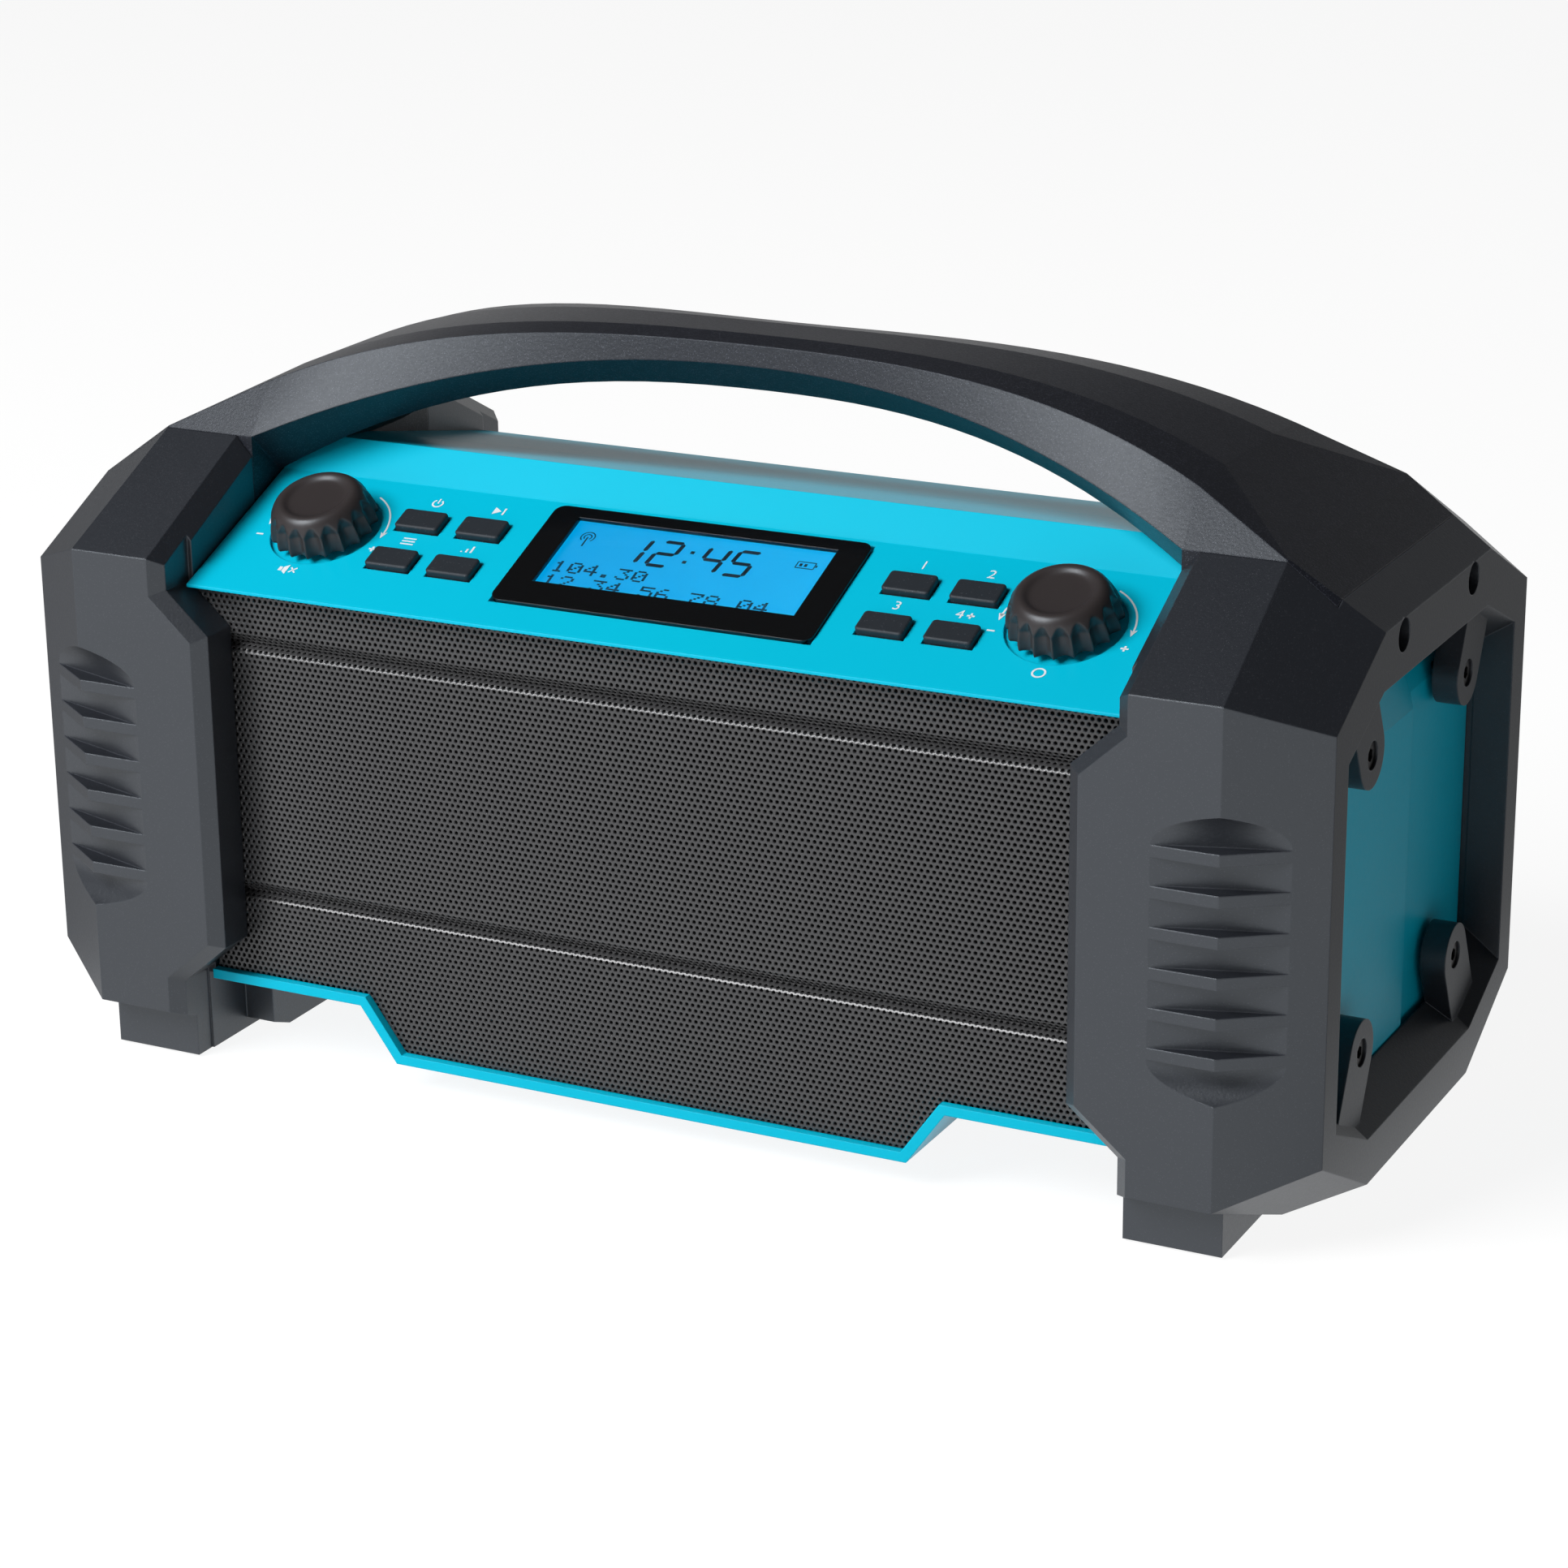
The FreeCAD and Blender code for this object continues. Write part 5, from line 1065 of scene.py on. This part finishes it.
@dataclass
class Display:
    """The bezel, the clear window and the lit display with plain numbers."""

    finishes: Finishes
    rise: float = -1.46
    slant: float = 0.12
    bar: float = 1.1
    digit_width: float = 4.9
    digit_height: float = 8.6
    segments: dict[str, str] = field(default_factory=lambda: {
        "1": "bc", "2": "abged", "4": "fgbc", "5": "afgcd"})
    dots: dict[str, tuple[int, ...]] = field(default_factory=lambda: {
        "0": (14, 17, 19, 21, 25, 17, 14), "1": (4, 12, 4, 4, 4, 4, 14), "2": (14, 17, 1, 2, 4, 8, 31),
        "3": (31, 2, 4, 2, 1, 17, 14), "4": (2, 6, 10, 18, 31, 2, 2), "5": (31, 16, 30, 1, 1, 17, 14),
        "6": (6, 8, 16, 30, 17, 17, 14), "7": (31, 1, 2, 4, 8, 8, 8), "8": (14, 17, 17, 14, 17, 17, 14),
        ".": (0, 0, 0, 0, 0, 12, 12), " ": (0,) * 7})
    clock: tuple[tuple[str, float], ...] = (("1", -18.4), ("2", -10.6), ("4", 1.3), ("5", 8.6))
    clock_low: float = 28.8
    colon: tuple[tuple[float, float], ...] = ((-1.9, 31.2), (-1.5, 34.8))
    rows: tuple[tuple[str, float], ...] = (("104.30", 26.0), ("12 34 56 78 04", 21.0))
    row_left: float = -31.6
    dot_step: float = 0.68
    dot_rise: float = 0.82
    dot_size: tuple[float, float] = (0.97, 0.76)
    mast: tuple[float, float] = (-28.6, 35.6)
    # The mast's foot, the battery's case and tip, and its two bars.
    lines: tuple[tuple[float, ...], ...] = (
        (-28.6, 35.6, -28.6, 32.2, 0.4), (24.2, 34.3, 28.6, 34.3, 0.28), (24.2, 36.5, 28.6, 36.5, 0.28),
        (24.2, 34.3, 24.2, 36.5, 0.28), (28.6, 34.3, 28.6, 36.5, 0.28), (29.0, 35.0, 29.0, 35.8, 0.4),
        (25.2, 34.9, 25.2, 35.9, 0.7), (26.4, 34.9, 26.4, 35.9, 0.7))

    def bar_shape(self, first: tuple[float, float],
                  last: tuple[float, float]) -> tuple[np.ndarray, np.ndarray]:
        """One long six-sided segment between two points, with pointed ends.

        Args:
            first: Where it starts.
            last: Where it ends.

        Returns:
            Flat points and triangles.
        """
        a, b = np.array(first), np.array(last)
        way = (b - a) / np.linalg.norm(b - a)
        side = np.array([-way[1], way[0]]) * self.bar / 2
        inset = way * self.bar / 2
        points = np.array([a + inset * 0.2, a + inset + side, b - inset + side, b - inset * 0.2,
                           b - inset - side, a + inset - side])
        return points, np.array([[0, 2, 1], [0, 3, 2], [0, 4, 3], [0, 5, 4]])

    def digit(self, name: str, left: float, low: float) -> list[tuple[np.ndarray, np.ndarray]]:
        """The segments of one slanted digit.

        Args:
            name: The digit.
            left: Its left edge on the panel.
            low: Its lower edge on the panel.

        Returns:
            Flat points and triangles of its segments.
        """
        w, h = self.digit_width, self.digit_height
        ends = {"a": ((0, h), (w, h)), "b": ((w, h), (w, h / 2)), "c": ((w, h / 2), (w, 0)),
                "d": ((0, 0), (w, 0)), "e": ((0, 0), (0, h / 2)), "f": ((0, h / 2), (0, h)),
                "g": ((0, h / 2), (w, h / 2))}
        made = []
        for key in self.segments[name]:
            points, faces = self.bar_shape(*ends[key])
            across = left + points[:, 0] + points[:, 1] * self.slant
            made.append((np.stack([across, low + points[:, 1]], axis=1), faces))
        return made

    def squares(self, centres: np.ndarray, width: float, height: float) -> tuple[np.ndarray, np.ndarray]:
        """Flat blocks round centres, each two triangles.

        Args:
            centres: Rows of across and along.
            width: Width of a block.
            height: Height of a block.

        Returns:
            Flat points and triangles.
        """
        corners = np.array([[-1, -1], [1, -1], [1, 1], [-1, 1]]) * np.array([width, height]) / 2
        points = (centres[:, None] + corners).reshape(-1, 2)
        quads = np.arange(len(points)).reshape(-1, 4)
        return points, as_triangles(quads)

    def dotted(self, text: str, top: float) -> tuple[np.ndarray, np.ndarray]:
        """A row of plain numbers drawn in square dots.

        Args:
            text: Digits, points and blanks.
            top: Upper edge of the row.

        Returns:
            Flat points and triangles.
        """
        step = self.dot_step
        centres = [(self.row_left + (place * 6 + column) * step, top - row * step * self.dot_rise)
                   for place, name in enumerate(text)
                   for row, line in enumerate(self.dots[name])
                   for column in range(5) if line >> (4 - column) & 1]
        return self.squares(np.array(centres), step * self.dot_size[0], step * self.dot_size[1])

    def build(self, frame: dict) -> None:
        """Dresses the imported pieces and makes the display's dark segments.

        Args:
            frame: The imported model.
        """
        dress(frame, self.finishes.bezel, "display_bezel")
        dress(frame, self.finishes.window, "display_lens")
        dress(frame, self.finishes.lit, "lcd_module")
        dark = []
        for name, left in self.clock:
            dark += self.digit(name, left, self.clock_low)
        dark.append(self.squares(np.array(self.colon), 1.0, 1.0))
        dark += [self.dotted(text, top) for text, top in self.rows]
        waves = [stroke(arc(self.mast, radius, -50, 230), 0.3) for radius in (1.7, 0.9)]
        dark += [(points, as_triangles(quads)) for points, quads in waves + straight(self.lines)]
        flat, faces = joined(dark)
        local = np.column_stack([flat, np.full(len(flat), self.rise)])
        make_piece("display_figures", SLOPE.place(local), faces, self.finishes.segment)


# Studio


@dataclass(frozen=True)
class Studio:
    """The camera of the photograph, a pale floor and soft light."""

    eye: tuple[float, float, float] = (0.4195, -0.8186, 0.3789)
    yaw: float = 27.0
    pitch: float = -18.91
    roll: float = -0.64
    lens: float = 94.99
    floor: float = 6.0
    floor_level: float = 1.12
    floor_share: float = 0.8
    # Falls: where each starts and ends, and the levels there.
    floor_beside: tuple[float, float, float, float] = (0.15, 0.22, 0.0, 0.8)
    floor_depth: tuple[tuple[float, float, float, float], ...] = (
        (-0.15, -0.02, 0.0, 1.0), (0.8, 2.5, 1.0, 0.0))
    sky_height: tuple[float, float, float, float] = (0.05, 0.32, 1.0, 0.06)
    sky_ends: tuple[float, float, float, float] = (0.35, 0.95, 1.0, 0.2)
    key_place: tuple[float, float, float] = (-0.7, -1.15, 1.25)
    key_power: float = 36.0
    key_width: float = 0.9
    aim: tuple[float, float, float] = (0.0, 0.0, 0.08)

    def camera(self) -> None:
        """Sets up the camera.

        It looks along the heading turned by yaw and pitch, and is then rolled about that line.
        """
        yaw, pitch, roll = (math.radians(a) for a in (self.yaw, self.pitch, self.roll))
        ahead = np.array([-math.sin(yaw) * math.cos(pitch), math.cos(yaw) * math.cos(pitch), math.sin(pitch)])
        right = np.array([math.cos(yaw), math.sin(yaw), 0.0])
        up = np.cross(right, ahead)
        rolled_right = math.cos(roll) * right + math.sin(roll) * up
        rolled_up = -math.sin(roll) * right + math.cos(roll) * up
        data = bpy.data.cameras.new("photo_camera")
        data.lens, data.sensor_width = self.lens, 36.0
        data.clip_start, data.clip_end = 0.02, 50.0
        camera = added("photo_camera", data)
        turn = Matrix(np.column_stack([rolled_right, rolled_up, -ahead]).tolist())
        camera.matrix_world = Matrix.Translation(self.eye) @ turn.to_4x4()
        bpy.context.scene.camera = camera

    def seen(self, tree: bpy.types.NodeTree) -> bpy.types.NodeSocket:
        """One for rays that show the surroundings: straight, mirrored or through glass.

        Args:
            tree: Tree that gets the nodes.

        Returns:
            The result's socket.
        """
        path = tree.nodes.new("ShaderNodeLightPath")
        first = SHOP.math(tree, "MAXIMUM", path.outputs["Is Camera Ray"], path.outputs["Is Glossy Ray"])
        return SHOP.math(tree, "MAXIMUM", first, path.outputs["Is Transmission Ray"])

    def ground(self) -> None:
        """Lays the pale floor, which shows white, keeps a soft shadow and mirrors darker beside the radio."""
        mesh = bpy.data.meshes.new("floor")
        reach = self.floor
        mesh.from_pydata([(-reach, -reach, 0), (reach, -reach, 0), (reach, reach, 0), (-reach, reach, 0)],
                         [], [(0, 1, 2, 3)])
        floor = added("floor", mesh)
        material, tree, shader = new_material("pale_floor")
        shader.inputs["Base Color"].default_value = (0.85, 0.85, 0.85, 1.0)
        shader.inputs["Roughness"].default_value = 0.9
        shader.inputs["Specular IOR Level"].default_value = 0.0
        white = tree.nodes.new("ShaderNodeEmission")
        mix = tree.nodes.new("ShaderNodeMixShader")
        where = tree.nodes.new("ShaderNodeTexCoord")
        split = tree.nodes.new("ShaderNodeSeparateXYZ")
        tree.links.new(where.outputs["Object"], split.inputs[0])
        away = SHOP.math(tree, "ABSOLUTE", split.outputs["X"], 0.0)
        shade = SHOP.fall(tree, away, self.floor_beside)
        for limits in self.floor_depth:
            shade = SHOP.math(tree, "MULTIPLY", shade, SHOP.fall(tree, split.outputs["Y"], limits))
        mirrored = tree.nodes.new("ShaderNodeLightPath").outputs["Is Glossy Ray"]
        level = SHOP.math(tree, "SUBTRACT", 1.0, SHOP.math(tree, "MULTIPLY", shade, mirrored))
        tree.links.new(SHOP.math(tree, "MULTIPLY", level, self.floor_level), white.inputs["Strength"])
        tree.links.new(SHOP.math(tree, "MULTIPLY", self.seen(tree), self.floor_share), mix.inputs[0])
        tree.links.new(shader.outputs[0], mix.inputs[1])
        tree.links.new(white.outputs[0], mix.inputs[2])
        tree.links.new(mix.outputs[0], tree.nodes["Material Output"].inputs["Surface"])
        mesh.materials.append(material)

    def surroundings(self) -> None:
        """A surround that is white in front and behind, and dark overhead and at the ends.

        The level is a fall with the height of the direction times a fall with its size along X.
        """
        world = bpy.data.worlds.new("studio")
        world.use_nodes = True
        tree = world.node_tree
        where = tree.nodes.new("ShaderNodeTexCoord")
        split = tree.nodes.new("ShaderNodeSeparateXYZ")
        tree.links.new(where.outputs["Generated"], split.inputs[0])
        away = SHOP.math(tree, "ABSOLUTE", split.outputs["X"], 0.0)
        level = SHOP.math(tree, "MULTIPLY", SHOP.fall(tree, split.outputs["Z"], self.sky_height),
                          SHOP.fall(tree, away, self.sky_ends))
        tree.links.new(level, tree.nodes["Background"].inputs["Strength"])
        tree.nodes["Background"].inputs["Color"].default_value = (1.0, 1.0, 1.0, 1.0)
        bpy.context.scene.world = world

    def lamp(self, name: str, place: tuple[float, float, float], power: float, width: float) -> None:
        """A soft square lamp that faces the middle of the radio.

        Args:
            name: Name of the lamp.
            place: Where it stands, in metres.
            power: Power in watts.
            width: Side of the square, in metres.
        """
        data = bpy.data.lights.new(name, "AREA")
        data.energy, data.size = power, width
        lamp = added(name, data)
        lamp.location = place
        aim = np.array(self.aim) - np.array(place)
        lamp.rotation_mode = "QUATERNION"
        back = -aim / np.linalg.norm(aim)
        right = np.cross([0.0, 0.0, 1.0], back)
        right /= np.linalg.norm(right)
        turn = Matrix(np.column_stack([right, np.cross(back, right), back]).tolist())
        lamp.rotation_quaternion = turn.to_quaternion()

    def build(self) -> None:
        """Sets up the whole studio."""
        self.camera()
        self.ground()
        self.surroundings()
        self.lamp("key_lamp", self.key_place, self.key_power, self.key_width)
        bpy.context.scene.view_settings.view_transform = "Standard"


def main() -> None:
    """Loads the frame, builds every sub-assembly in order and notes the sizes."""
    logging.basicConfig(level=logging.INFO, format="%(name)s %(message)s")
    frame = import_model()
    finishes = Finishes()
    Bumpers(finishes).dress(frame)
    Housing(finishes).dress(frame)
    SpeakerGrille(finishes).build()
    PushButtons(finishes).dress(frame)
    PanelPrint(finishes).build()
    Display(finishes).build(frame)
    for name, side in (("volume", Side.LEFT), ("tuning", Side.RIGHT)):
        Dial(finishes, name, side.value * SLOPE.dial_across).build()
    Studio().build()


if __name__ == "__main__":
    main()
